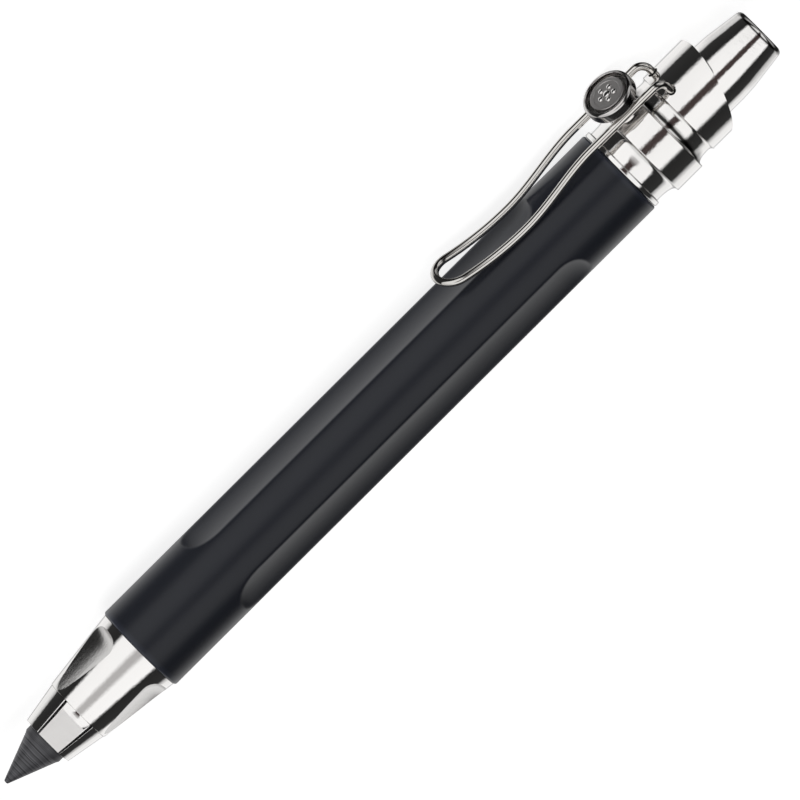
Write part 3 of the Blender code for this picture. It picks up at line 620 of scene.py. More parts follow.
def floor_sheet(colours):
    """Matt pale board with a glow of its own, so that the shadows on it stay light."""
    material, tree, shader = blank_material("pale_board")
    marks = effect(tree, "handling", {"Scale": 6.0, "Cover": 0.5})
    inputs = {
        "Base Color": blended(tree, marks, colours.floor, shade_of(colours.floor, 0.985)),
        "Roughness": 0.9,
        "Specular IOR Level": 0.0,
        "Emission Color": (1.0, 1.0, 1.0, 1.0),
        "Emission Strength": FLOOR_GLOW,
    }
    fill(tree, shader, inputs)
    return material


FINISHES = {
    "nickel": nickel,
    "ground_nickel": ground_nickel,
    "jaw_nickel": jaw_nickel,
    "jaw_flat": jaw_flat,
    "dark_chrome": dark_chrome,
    "disc_chrome": disc_chrome,
    "wire": wire_plate,
    "brass": brass,
    "steel": spring_steel,
    "lacquer": lacquer,
    "graphite": graphite,
    "floor": floor_sheet,
}
MADE = {}


def finish(kind):
    """A finish by name, made once."""
    if kind not in MADE:
        MADE[kind] = FINISHES[kind](bpy.context.scene.lead_holder_colours)
    return MADE[kind]


# Shaping


def spread(start, end, step):
    """Even places from start up to and without end."""
    count = max(1, round(abs(end - start) / step))
    return [start + (end - start) * index / count for index in range(count)]


def corner(start, end, hollow=False):
    """start, a quarter ellipse and end. The arc bulges away from the axis, or towards it if hollow."""
    lower, upper = sorted((start, end), key=lambda point: point[1])
    middle = (lower[0], upper[1]) if hollow else (upper[0], lower[1])
    points = [start]
    for step in range(1, ARC_STEPS):
        turn = step / ARC_STEPS * 90 * DEG
        across, up = math.cos(turn), math.sin(turn)
        points.append(tuple(m + (s - m) * across + (e - m) * up for m, s, e in zip(middle, start, end)))
    return [*points, end]


def softened(outline, radius, closed=True, least=25 * DEG):
    """An outline with each of its sharp corners rounded. An open one keeps its two ends."""
    points = [Vector(point) for point in outline]
    count = len(points)
    made = []
    for index, point in enumerate(points):
        if not closed and index in (0, count - 1):
            made.append(tuple(point))
            continue
        before = point - points[index - 1]
        after = points[(index + 1) % count] - point
        if before.angle(after, 0.0) < least:
            made.append(tuple(point))
            continue
        cut = min(radius, 0.45 * before.length, 0.45 * after.length)
        start = point - before.normalized() * cut
        end = point + after.normalized() * cut
        for step in range(5):
            share = step / 4
            bent = start * (1 - share) ** 2 + point * 2 * share * (1 - share) + end * share**2
            made.append(tuple(bent))
    return made


def turned(name, outline, sides=SIDES, place=None):
    """An object turned about the X axis from (place along the axis, radius) points.
    An outline that starts on the axis makes a solid piece, and any other one is joined into a ring."""
    shape = bmesh.new()
    points = [shape.verts.new((x, 0.0, radius)) for x, radius in outline]
    edges = [shape.edges.new(pair) for pair in zip(points, points[1:])]
    if outline[0][1] > 0.0:
        edges.append(shape.edges.new((points[-1], points[0])))
    bmesh.ops.spin(
        shape,
        geom=[*points, *edges],
        cent=(0, 0, 0),
        axis=(1, 0, 0),
        dvec=(0, 0, 0),
        angle=2 * math.pi,
        steps=sides,
        use_merge=True,
    )
    bmesh.ops.remove_doubles(shape, verts=shape.verts, dist=MERGE)
    bmesh.ops.recalc_face_normals(shape, faces=shape.faces)
    shape.transform(place or Matrix.Identity(4))
    return new_object(name, shape)


def new_object(name, shape):
    data = bpy.data.meshes.new(name)
    shape.to_mesh(data)
    shape.free()
    return linked(name, data)


def linked(name, data):
    item = bpy.data.objects.new(name, data)
    bpy.context.scene.collection.objects.link(item)
    return item


def block(name, low, high, place):
    """A box from low to high, turned into its place."""
    shape = bmesh.new()
    bmesh.ops.create_cube(shape, size=1.0)
    low, high = Vector(low), Vector(high)
    for vert in shape.verts:
        vert.co = Vector([low[k] + (vert.co[k] + 0.5) * (high[k] - low[k]) for k in range(3)])
    shape.transform(place)
    return new_object(name, shape)


def remove(item):
    data = item.data
    bpy.data.objects.remove(item)
    if isinstance(data, bpy.types.Mesh):
        bpy.data.meshes.remove(data)
    else:
        bpy.data.curves.remove(data)


def settled(item):
    """The item as a plain mesh, with its modifiers applied and removed."""
    bpy.context.view_layer.update()
    graph = bpy.context.evaluated_depsgraph_get()
    data = bpy.data.meshes.new_from_object(item.evaluated_get(graph), depsgraph=graph)
    made = linked(item.name, data)
    remove(item)
    return made


def carved(item, cutters, operation="DIFFERENCE"):
    """Cuts an item by others, which are used up."""
    for cutter in cutters:
        boolean = item.modifiers.new("carve", "BOOLEAN")
        boolean.operation = operation
        boolean.solver = "EXACT"
        boolean.object = cutter
    made = settled(item)
    for cutter in cutters:
        remove(cutter)
    return made


def two_finishes(item, *cutters):
    """Gives what the cutters leave on an item its second finish."""
    for one in (item, *cutters):
        one.data.materials.clear()
        for slot in range(2):
            one.data.materials.append(None)
    for cutter in cutters:
        cutter.data.polygons.foreach_set("material_index", [1] * len(cutter.data.polygons))


def bevelled(item, width):
    bevel = item.modifiers.new("edges", "BEVEL")
    bevel.width = width
    bevel.segments = 2
    bevel.limit_method = "ANGLE"
    bevel.angle_limit = 35 * DEG
    return settled(item)


def around(turn):
    """Turns about the pen's axis, counted from the clip."""
    return Matrix.Rotation(turn, 4, "X")


def at(x, y, z):
    return Matrix.Translation((x, y, z))


UPRIGHT = at(KNOB_X, 0, 0) @ Matrix.Rotation(-90 * DEG, 4, "Y")


def placed(item, node, slot, *kinds, smooth=32 * DEG, stands_for=True, flex=None):
    """Gives a piece its finishes, rolls it over with the pen, and lets it ride where its node does.
    flex is two bodies and two points, which nothing reads; a piece given flex only keeps its place and rides with
    no body."""
    item = settled(item)
    item.data.transform(PEN)
    item.data.shade_smooth()
    item.data.set_sharp_from_angle(angle=smooth)
    even = item.modifiers.new("even_shading", "WEIGHTED_NORMAL")
    even.keep_sharp = True
    item = settled(item)
    item.name = f"{node}_finished" if stands_for else item.name
    data = item.data
    indexes = [face.material_index for face in data.polygons]
    data.materials.clear()
    for kind in kinds:
        data.materials.append(finish(kind))
    data.polygons.foreach_set("material_index", indexes)
    if flex:
        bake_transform(item)
    else:
        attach(item, BODY_OF[node])
    if stands_for:
        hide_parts(node)
    return item


def spindle(rear, front, rear_ramp, front_ramp, radius, depth, gap=0.1 * MM):
    """A long grinding spindle: full radius in the middle and run out at both ends."""
    shallow = radius - depth - gap
    return [
        (front, 0.0),
        *corner((front, shallow), (front - front_ramp, radius)),
        *corner((rear + rear_ramp, radius), (rear, shallow)),
        (rear, 0.0),
    ]


# Geometry Nodes


def new_tree(name, inputs):
    """An empty geometry tree with named inputs. Returns it, its inputs and their identifiers by name."""
    tree = bpy.data.node_groups.new(name, "GeometryNodeTree")
    new_socket = tree.interface.new_socket
    new_socket(name="Geometry", in_out="INPUT", socket_type="NodeSocketGeometry")
    names = group_inputs(tree, inputs)
    material = new_socket(name="Material", in_out="INPUT", socket_type="NodeSocketMaterial")
    names["Material"] = material.identifier
    new_socket(name="Geometry", in_out="OUTPUT", socket_type="NodeSocketGeometry")
    return tree, tree.nodes.new("NodeGroupInput").outputs, names


def close_tree(tree, geometry, material):
    """Ends a tree as the export needs it, with real geometry and its material."""
    real = add(tree, "GeometryNodeRealizeInstances", (geometry,))
    coated = add(tree, "GeometryNodeSetMaterial", {"Geometry": real.outputs[0], "Material": material})
    add(tree, "NodeGroupOutput", (coated.outputs[0],))


def grow(item, tree, names, values):
    """Runs a tree on an item with its inputs set, and returns the result as a plain mesh."""
    modifier = item.modifiers.new("shape", "NODES")
    modifier.node_group = tree
    for name, value in values.items():
        modifier[names[name]] = value
    return settled(item)


def position_parts(tree):
    return add(tree, "ShaderNodeSeparateXYZ", (add(tree, "GeometryNodeInputPosition").outputs[0],)).outputs


def swept(tree, path, profile):
    """A round profile drawn along a path."""
    inputs = {"Curve": path, "Profile Curve": profile, "Fill Caps": True}
    return add(tree, "GeometryNodeCurveToMesh", inputs).outputs[0]


def circle(tree, sides, radius):
    inputs = {"Resolution": sides, "Radius": radius}
    return add(tree, "GeometryNodeCurvePrimitiveCircle", inputs).outputs[0]


def flute_tree():
    """Presses flutes into a blank: a point goes down to a grinding spindle where that is deeper."""
    lengths = ("Radius", "Depth", "Sweep", "Rear", "Front", "Rear Ramp", "Front Ramp", "Softness", "Skin")
    inputs = {**dict.fromkeys(lengths, MM), "Turn": 0.0, "Count": 3}
    tree, value, names = new_tree("fluting", inputs)
    do = partial(maths, tree)
    parts = position_parts(tree)
    along = parts["X"]
    radius = do("SQRT", do("MULTIPLY_ADD", parts["Z"], parts["Z"], do("MULTIPLY", parts["Y"], parts["Y"])))
    turn = do("ARCTAN2", do("MULTIPLY", parts["Y"], -1.0), parts["Z"])
    pitch = do("DIVIDE", 2 * math.pi, value["Count"])
    half = do("MULTIPLY", pitch, 0.5)
    shifted = do("ADD", do("SUBTRACT", turn, value["Turn"]), half)
    folded = do("SUBTRACT", do("FLOORED_MODULO", shifted, pitch), half)
    # how far a point is into the run-out at either end of a flute
    rear_way = do("SUBTRACT", do("ADD", value["Rear"], value["Rear Ramp"]), along)
    front_way = do("ADD", do("SUBTRACT", along, value["Front"]), value["Front Ramp"])
    rear_share = do("DIVIDE", rear_way, value["Rear Ramp"], clamp=True)
    front_share = do("DIVIDE", front_way, value["Front Ramp"], clamp=True)
    share = do("MAXIMUM", rear_share, front_share)
    fullness = do("SQRT", do("SUBTRACT", 1.0, do("MULTIPLY", share, share)))
    drop = do("MULTIPLY", do("SUBTRACT", 1.0, fullness), do("ADD", value["Depth"], SPINDLE_LIFT))
    # the spindle's surface above that point
    sweep = do("SUBTRACT", value["Sweep"], drop)
    centre = do("ADD", do("SUBTRACT", value["Radius"], value["Depth"]), value["Sweep"])
    side = do("MULTIPLY", centre, do("SINE", folded))
    reach = do("SUBTRACT", do("MULTIPLY", sweep, sweep), do("MULTIPLY", side, side))
    chord = do("SQRT", do("MAXIMUM", reach, 0.0))
    ground = do("SUBTRACT", do("MULTIPLY", centre, do("COSINE", folded)), chord)
    lowered = do("SMOOTH_MIN", radius, ground, value["Softness"])
    ratio = do("DIVIDE", lowered, radius)
    place = (along, do("MULTIPLY", parts["Y"], ratio), do("MULTIPLY", parts["Z"], ratio))
    further = {"data_type": "FLOAT", "operation": "GREATER_THAN"}
    outer = add(tree, "FunctionNodeCompare", (radius, value["Skin"]), **further).outputs[0]
    inputs = {
        "Geometry": value["Geometry"],
        "Selection": outer,
        "Position": add(tree, "ShaderNodeCombineXYZ", place).outputs[0],
    }
    pressed = add(tree, "GeometryNodeSetPosition", inputs)
    close_tree(tree, pressed.outputs[0], value["Material"])
    return tree, names


def wire_tree():
    """Draws round wire along a path."""
    tree, value, names = new_tree("wire_along_path", {"Radius": 0.5 * MM, "Sides": 32})
    drawn = swept(tree, value["Geometry"], circle(tree, value["Sides"], value["Radius"]))
    close_tree(tree, drawn, value["Material"])
    return tree, names


def spring_tree():
    """Winds a compression spring with a closed turn at each end."""
    inputs = {"Wire": 0.3 * MM, "Coil Radius": 4 * MM, "Length": 20 * MM, "Turns": 9}
    tree, value, names = new_tree("spring_winding", inputs)
    do = partial(maths, tree)
    coil = add(
        tree,
        "GeometryNodeCurveSpiral",
        {
            "Resolution": 40,
            "Rotations": value["Turns"],
            "Start Radius": value["Coil Radius"],
            "End Radius": value["Coil Radius"],
            "Height": value["Length"],
        },
    )
    parts = position_parts(tree)
    turn = do("MULTIPLY", do("DIVIDE", parts["Z"], value["Length"]), value["Turns"])
    open_turns = do("SUBTRACT", value["Turns"], 2.0)
    opened = do("MINIMUM", do("MAXIMUM", do("SUBTRACT", turn, 1.0), 0.0), open_turns)
    closed_pitch = do("MULTIPLY", value["Wire"], CLOSED_PITCH)
    rest = do("SUBTRACT", value["Length"], do("MULTIPLY", closed_pitch, 2.0))
    closed = do("MULTIPLY", do("SUBTRACT", turn, opened), closed_pitch)
    height = do("MULTIPLY_ADD", opened, do("DIVIDE", rest, open_turns), closed)
    moved = add(tree, "ShaderNodeCombineXYZ", (parts["X"], parts["Y"], height)).outputs[0]
    wound = add(tree, "GeometryNodeSetPosition", {"Geometry": coil.outputs[0], "Position": moved})
    drawn = swept(tree, wound.outputs[0], circle(tree, 16, value["Wire"]))
    close_tree(tree, drawn, value["Material"])
    return tree, names


def rosette_tree():
    """Sets a ring of round pips about a middle one."""
    inputs = {"Pip": 0.3 * MM, "Circle": MM, "Flatness": 0.6, "Count": 6}
    tree, value, names = new_tree("pip_rosette", inputs)
    pip = add(tree, "GeometryNodeMeshUVSphere", {"Segments": 24, "Rings": 14, "Radius": value["Pip"]})
    squash = add(tree, "ShaderNodeCombineXYZ", (1.0, 1.0, value["Flatness"])).outputs[0]
    flat = add(tree, "GeometryNodeTransform", {"Geometry": pip.outputs[0], "Scale": squash}).outputs[0]
    ring = add(tree, "GeometryNodeMeshCircle", {"Vertices": value["Count"], "Radius": value["Circle"]})
    pips = add(tree, "GeometryNodeInstanceOnPoints", {"Points": ring.outputs[0], "Instance": flat})
    middle = add(tree, "GeometryNodeTransform", {"Geometry": flat, "Scale": MIDDLE_PIP_SCALE})
    both = add(tree, "GeometryNodeJoinGeometry")
    tree.links.new(pips.outputs[0], both.inputs[0])
    tree.links.new(middle.outputs[0], both.inputs[0])
    close_tree(tree, both.outputs[0], value["Material"])
    return tree, names


def path_object(name, points):
    """A curve through points, for a tree to follow."""
    data = bpy.data.curves.new(name, "CURVE")
    data.dimensions = "3D"
    spline = data.splines.new("POLY")
    spline.points.add(len(points) - 1)
    for target, point in zip(spline.points, points):
        target.co = (*point, 1.0)
    return linked(name, data)


# Pieces


class PieceOperator:
    """What every piece's operator shares."""

    bl_options = {"REGISTER", "UNDO"}

    def execute(self, context):
        self.make(context.scene.lead_holder_sizes)
        return {"FINISHED"}


class LEADHOLDER_OT_barrel(PieceOperator, bpy.types.Operator):
    """Barrel: a turned tube with finger flutes, under satin lacquer"""

    bl_idname = "leadholder.barrel"
    bl_label = "Barrel"

    def make(self, size):
        rear_flute = BARREL_REAR + size.flute_rear
        front_flute = BARREL_FRONT - size.flute_front
        margin = 1.5 * MM
        ends = (
            BARREL_REAR + size.barrel_round,
            rear_flute - margin,
            rear_flute + size.flute_rear_ramp + margin,
            front_flute - size.flute_front_ramp - margin,
            front_flute + margin,
            BARREL_FRONT - size.barrel_round,
        )
        # finer rings where a flute runs out
        steps = (0.8 * MM, 0.12 * MM, 0.9 * MM, 0.12 * MM, 0.8 * MM)
        places = [x for start, end, step in zip(ends, ends[1:], steps) for x in spread(start, end, step)]
        edge_r = BARREL_R - size.barrel_round
        rear_round = corner((BARREL_REAR, edge_r), (BARREL_REAR + size.barrel_round, BARREL_R))
        front_round = corner((BARREL_FRONT - size.barrel_round, BARREL_R), (BARREL_FRONT, edge_r))
        rear_step = BARREL_REAR + size.socket_depth
        front_step = BARREL_FRONT - size.socket_depth
        outline = [
            *rear_round,
            *[(x, BARREL_R) for x in places[1:]],
            *front_round,
            (BARREL_FRONT, SOCKET_R),
            (front_step, SOCKET_R),
            (front_step, BARREL_BORE_R),
            (rear_step, BARREL_BORE_R),
            (rear_step, SOCKET_R),
            (BARREL_REAR, SOCKET_R),
        ]
        blank = turned("barrel_blank", outline, FINE_SIDES)
        tree, names = flute_tree()
        values = {
            "Radius": BARREL_R,
            "Depth": size.flute_depth,
            "Sweep": size.flute_sweep,
            "Rear": rear_flute,
            "Front": front_flute,
            "Rear Ramp": size.flute_rear_ramp,
            "Front Ramp": size.flute_front_ramp,
            "Softness": size.flute_softness,
            # only the outside is ground
            "Skin": (SOCKET_R + edge_r) / 2,
            "Turn": size.flute_turn,
            "Count": size.flute_count,
            "Material": finish("lacquer"),
        }
        placed(grow(blank, tree, names, values), "barrel", "black_lacquer", "lacquer")


class LEADHOLDER_OT_nose(PieceOperator, bpy.types.Operator):
    """Nose cone: a plated cone with three ground scoops"""

    bl_idname = "leadholder.nose"
    bl_label = "Nose cone"

    def make(self, size):
        rear = BARREL_FRONT + SEAM
        seat_rear = NOSE_FRONT - size.lock_length
        seat_rear_r = MOUTH_R - LOCK_SLOPE * size.lock_length
        bore_front = seat_rear - abs(NOSE_BORE_R - seat_rear_r)
        outline = softened(
            [
                (NOSE_FRONT, NOSE_TIP_R),
                (rear, BARREL_R - size.nose_step),
                (rear, SPIGOT_R),
                (NOSE_SPIGOT, SPIGOT_R),
                (NOSE_SPIGOT, NOSE_BORE_R),
                (bore_front, NOSE_BORE_R),
                (seat_rear, seat_rear_r),
                (NOSE_FRONT, MOUTH_R),
            ],
            size.edge / 2,
        )
        nose = turned("nose_blank", outline)
        floor_r = NOSE_TIP_R + size.scoop_rise
        shape = spindle(
            rear + size.scoop_inset,
            NOSE_FRONT + 3 * size.scoop_round,
            size.scoop_round,
            size.scoop_round,
            size.scoop_sweep,
            BARREL_R - floor_r,
        )
        cutters = []
        for index in range(3):
            turn = size.scoop_turn + index * 120 * DEG
            place = around(turn) @ at(0, 0, floor_r + size.scoop_sweep)
            cutters.append(turned(f"scoop_{index + 1}", shape, CUTTER_SIDES, place))
        two_finishes(nose, *cutters)
        nose = carved(nose, cutters)
        placed(nose, "nose_cone", "nickel_plate", "nickel", "ground_nickel", smooth=22 * DEG)


class LEADHOLDER_OT_chuck(PieceOperator, bpy.types.Operator):
    """Chuck: six jaws that close on the lead, every other one with a milled flat, and their sleeve"""

    bl_idname = "leadholder.chuck"
    bl_label = "Chuck"

    def make(self, size):
        for number in range(1, 7):
            self.make_jaw(size, number)
        tube_r = TUBE_R + 0.04 * MM
        rear, front = span("chuck_sleeve")
        outline = [
            (front, widest("chuck_sleeve")),
            (rear, widest("chuck_sleeve")),
            (rear, tube_r),
            (TUBE_FRONT + SEAM, tube_r),
            (TUBE_FRONT + SEAM, STEM_BORE_R),
            (front, STEM_BORE_R),
        ]
        placed(turned("sleeve", softened(outline, size.edge)), "chuck_sleeve", "brass", "brass")

    def make_jaw(self, size, number):
        hinge = PEN.inverted() @ Vector(joint(f"jaw_{number}_spread")["pos_m"])
        turn = math.atan2(-hinge.y, hinge.z)
        step = 60 * DEG
        lock_front = NOSE_FRONT + SEAM
        lock_rear = lock_front - size.lock_length
        lock_r = MOUTH_R - 0.06 * MM
        shoulder = NOSE_FRONT + FREE
        stem_front = lock_rear - 1.5 * MM
        slope = (SHOULDER_R - JAW_EDGE_R) / (JAW_FRONT - shoulder)
        tip_r = JAW_EDGE_R + 0.12 * MM
        outline = [
            (JAW_FRONT, tip_r),
            (shoulder, SHOULDER_R),
            (shoulder, lock_r),
            (lock_front, lock_r),
            (lock_rear, lock_r - LOCK_SLOPE * size.lock_length),
            (stem_front, STEM_R),
            (JAW_REAR, STEM_R),
            (JAW_REAR, STEM_BORE_R),
            (stem_front, STEM_BORE_R),
            (lock_rear, JAW_BORE_R),
            (JAW_FRONT, JAW_BORE_R),
        ]
        jaw = turned("jaw", outline, place=around(turn))
        jaw = carved(jaw, [self.wedge(size, turn, step)], "INTERSECT")
        if number % 2 == 0:
            half_jaw = step / 2 - math.asin(size.slit / 2 / tip_r)
            shrink = math.cos(half_jaw)
            rear_r = tip_r + slope * size.jaw_flat
            corner_place = at(JAW_FRONT - size.jaw_flat, 0, rear_r * shrink)
            tilt = Matrix.Rotation(math.atan(slope * shrink), 4, "Y")
            reach = 2 * BARREL_R
            flat = block("flat", (0, -reach, 0), (reach, reach, reach), around(turn) @ corner_place @ tilt)
            two_finishes(jaw, flat)
            jaw = carved(jaw, [flat])
        jaw = bevelled(jaw, size.jaw_edge)
        placed(jaw, f"chuck_jaw_{number}", "nickel_plate", "jaw_nickel", "jaw_flat", smooth=25 * DEG)

    def wedge(self, size, turn, step):
        """A prism that is one jaw's share of the circle, less half a slit on each side."""
        reach = 3 * SHOULDER_R
        apex = size.slit / 2 / math.sin(step / 2)
        wide = reach * math.tan(step / 2)
        shape = bmesh.new()
        ends = [(0.0, apex), (-wide, apex + reach), (wide, apex + reach)]
        face = shape.faces.new([shape.verts.new((JAW_REAR - MM, y, z)) for y, z in ends])
        grown = bmesh.ops.extrude_face_region(shape, geom=[face])
        moved = [item for item in grown["geom"] if isinstance(item, bmesh.types.BMVert)]
        bmesh.ops.translate(shape, vec=(JAW_FRONT - JAW_REAR + 2 * MM, 0, 0), verts=moved)
        bmesh.ops.recalc_face_normals(shape, faces=shape.faces)
        shape.transform(around(turn))
        return new_object("wedge", shape)


class LEADHOLDER_OT_lead(PieceOperator, bpy.types.Operator):
    """Lead: a thick graphite rod with a sharpened, slightly worn point"""

    bl_idname = "leadholder.lead"
    bl_label = "Lead"

    def make(self, size):
        point_r = size.point_radius
        cone_rear = LEAD_FRONT - size.point_length
        slope = (LEAD_R - point_r) / size.point_length
        outline = [
            *corner((LEAD_FRONT, 0.0), (LEAD_FRONT - point_r / 2, point_r)),
            *[
                (x, point_r + slope * (LEAD_FRONT - point_r / 2 - x))
                for x in spread(LEAD_FRONT - point_r / 2, cone_rear, 0.4 * MM)[1:]
            ],
            (cone_rear, LEAD_R),
            (LEAD_REAR + size.edge, LEAD_R),
            (LEAD_REAR, LEAD_R - size.edge),
            (LEAD_REAR, 0.0),
        ]
        placed(turned("rod", outline), "lead", "graphite", "graphite")


class LEADHOLDER_OT_inner(PieceOperator, bpy.types.Operator):
    """Inner pieces: the lead tube, its spring stop, the spring, its washer"""

    bl_idname = "leadholder.inner"
    bl_label = "Inner pieces"

    def make(self, size):
        for node, slot, kind in (
            ("lead_tube", "brass", "brass"),
            ("spring_stop", "brass", "brass"),
            ("spring_washer", "spring_steel", "steel"),
        ):
            rear, front = span(node)
            outer, inner = widest(node), narrowest(node)
            outline = [(front, outer), (rear, outer), (rear, inner), (front, inner)]
            placed(turned(node, softened(outline, size.edge * 1.5)), node, slot, kind)
        tree, names = spring_tree()
        values = {
            "Wire": size.spring_wire,
            "Coil Radius": widest("return_spring") - size.spring_wire,
            "Length": SPRING_FRONT - SPRING_REAR - 2 * size.spring_wire,
            "Turns": size.spring_turns,
            "Material": finish("steel"),
        }
        coil = grow(path_object("coil", [(0, 0, 0), (0, 0, MM)]), tree, names, values)
        coil.data.transform(at(SPRING_REAR + size.spring_wire, 0, 0) @ Matrix.Rotation(90 * DEG, 4, "Y"))
        ends = ((SPRING_FRONT, 0, 0), (SPRING_REAR, 0, 0))
        flex = (BODY_OF["spring_washer"], BODY_OF["spring_stop"], *ends)
        placed(coil, "return_spring", "spring_steel", "steel", flex=flex)


class LEADHOLDER_OT_tail(PieceOperator, bpy.types.Operator):
    """Tail: the rear ferrule with its neck, the clip ring and the slanted tail collar"""

    bl_idname = "leadholder.tail"
    bl_label = "Tail"

    def make(self, size):
        self.make_ferrule(size)
        self.make_ring(size)
        self.make_collar(size)

    def make_ferrule(self, size):
        flange_front = BARREL_REAR - SEAM
        flange_rear = flange_front - size.flange_width
        flange_r = BARREL_R - size.flange_step
        neck_r = flange_r - size.neck_drop
        neck_rear = RING_FRONT + SEAM
        waist = flange_rear - (flange_rear - neck_rear) / 4
        bead = size.flange_width / 3
        outline = [
            (FERRULE_FRONT, SPIGOT_R),
            (flange_front, SPIGOT_R),
            *corner((flange_front, flange_r - bead), (flange_front - bead, flange_r)),
            *corner((flange_rear + bead / 2, flange_r), (flange_rear, flange_r - bead / 2)),
            (flange_rear, neck_r),
            *corner((waist, neck_r), (neck_rear, flange_r + size.neck_flare), hollow=True),
            (neck_rear, SHAFT_R),
            (SHAFT_REAR, SHAFT_R),
            (SHAFT_REAR, FERRULE_BORE_R),
            (FERRULE_FRONT, FERRULE_BORE_R),
        ]
        placed(turned("ferrule", softened(outline, size.edge)), "rear_ferrule", "nickel_plate", "nickel")

    def make_ring(self, size):
        outline = [
            (RING_FRONT, RING_R),
            (RING_REAR, RING_R),
            (RING_REAR, RING_BORE_R),
            (RING_FRONT, RING_BORE_R),
        ]
        ring = turned("ring", softened(outline, size.edge * 2.5))
        seat_r = BASE_R + FREE
        stem_hole_r = size.stem_radius + FREE
        seat = [
            (2 * RING_R, 0.0),
            (2 * RING_R, seat_r),
            (BASE_FOOT - SEAM, seat_r),
            (BASE_FOOT - SEAM, stem_hole_r),
            (0.0, stem_hole_r),
            (0.0, 0.0),
        ]
        ring = carved(ring, [turned("seat", seat, 96, UPRIGHT)])
        placed(ring, "clip_ring", "nickel_plate", "nickel")

    def make_collar(self, size):
        collar_r = TAIL_R - size.neck_flare / 2
        neck_r = collar_r - size.neck_drop
        collar_front = HINGE.x + size.hook_inset
        front = RING_REAR - SEAM
        waist = collar_front + (front - collar_front) / 3
        outline = [
            *corner((front, TAIL_R), (waist, neck_r), hollow=True),
            *corner((waist, neck_r), (collar_front + 0.3 * MM, collar_r), hollow=True)[1:],
            (collar_front, collar_r),
            (0.0, collar_r),
            (0.0, FERRULE_BORE_R),
            (SHAFT_REAR - SEAM, FERRULE_BORE_R),
            (SHAFT_REAR - SEAM, RING_BORE_R),
            (front, RING_BORE_R),
        ]
        collar = turned("collar", softened(outline, size.edge))
        reach = 3 * TAIL_R
        # the slanted face meets the collar's rearmost edge on the clip's side
        plane = at(TAIL_REAR + collar_r * math.tan(size.collar_slant), 0, 0)
        slant = plane @ Matrix.Rotation(-size.collar_slant, 4, "Y")
        slab = block("slant", (-reach, -reach, -reach), (0, reach, reach), slant)
        collar = carved(collar, [slab])
        collar = bevelled(collar, size.edge)
        floor = HINGE.z / 2
        hole = [(reach, 0.0), (reach, size.hook_hole), (floor, size.hook_hole), (floor, 0.0)]
        lean = Matrix.Rotation(-90 * DEG, 4, "Y")
        hook_y = WIRE_WIDTH / 2 - size.wire_radius - size.wire_toe_in
        cutters = [
            turned(f"hole_{side + 2}", hole, 64, at(HINGE.x, side * hook_y, 0) @ lean) for side in (-1, 1)
        ]
        collar = carved(collar, cutters)
        placed(collar, "tail_collar", "nickel_plate", "nickel")


class LEADHOLDER_OT_cap(PieceOperator, bpy.types.Operator):
    """Push cap: a tapered plated cup with a point sharpener inside"""

    bl_idname = "leadholder.cap"
    bl_label = "Push cap and sharpener"

    def make(self, size):
        end_r = CAP_R - size.cap_drop
        pocket_r = SHARPENER_R + 0.04 * MM
        pocket_front = SHARPENER_FRONT + SEAM
        dish = 0.12 * MM
        outline = [
            (size.cap_wall, 0.0),
            (size.cap_wall, pocket_r),
            (pocket_front, pocket_r),
            (pocket_front, CAP_BORE_R),
            (CAP_FRONT, CAP_BORE_R),
            (CAP_FRONT, CAP_R),
            *corner((size.cap_taper + 2 * MM, CAP_R), (size.cap_taper + MM, CAP_R)),
            (size.cap_taper - MM, CAP_R - size.cap_drop * MM / size.cap_taper),
            *corner((size.cap_round, end_r), (0.0, end_r - size.cap_round)),
            (dish, end_r - size.cap_round - 2 * dish),
            (dish, 0.0),
        ]
        cap = turned("cap", softened(outline, size.edge, closed=False, least=40 * DEG))
        placed(cap, "push_cap", "nickel_plate", "nickel")
        self.make_sharpener(size)

    def make_sharpener(self, size):
        mouth_r = radii_at("sharpener_insert", SHARPENER_FRONT)[0]
        cone_rear = SHARPENER_REAR + MM
        outline = [
            (SHARPENER_FRONT, SHARPENER_R),
            (SHARPENER_REAR, SHARPENER_R),
            (SHARPENER_REAR, SHARPENER_HOLE_R),
            (cone_rear, SHARPENER_HOLE_R),
            (SHARPENER_FRONT, mouth_r),
        ]
        insert = turned("insert", softened(outline, size.edge / 2), 96)
        tilt = math.atan2(mouth_r - SHARPENER_HOLE_R, SHARPENER_FRONT - cone_rear)
        run = (SHARPENER_FRONT - cone_rear) / math.cos(tilt) - 2 * BLADE_INSET
        place = at(cone_rear, 0, SHARPENER_HOLE_R) @ Matrix.Rotation(-tilt, 4, "Y") @ at(BLADE_INSET, 0, 0)
        half = BLADE_HALF_WIDTH
        slot_low = (-SLOT_MARGIN, -half - SLOT_MARGIN, -SHARPENER_R)
        slot_high = (run + SLOT_MARGIN, half + SLOT_MARGIN, SHARPENER_R)
        insert = carved(insert, [block("slot", slot_low, slot_high, place)])
        placed(insert, "sharpener_insert", "brass", "brass")
        blade = block("blade", (0, -half, 0), (run, half, BLADE_THICKNESS), place)
        placed(bevelled(blade, BLADE_EDGE), "sharpener_blade", "spring_steel", "steel")


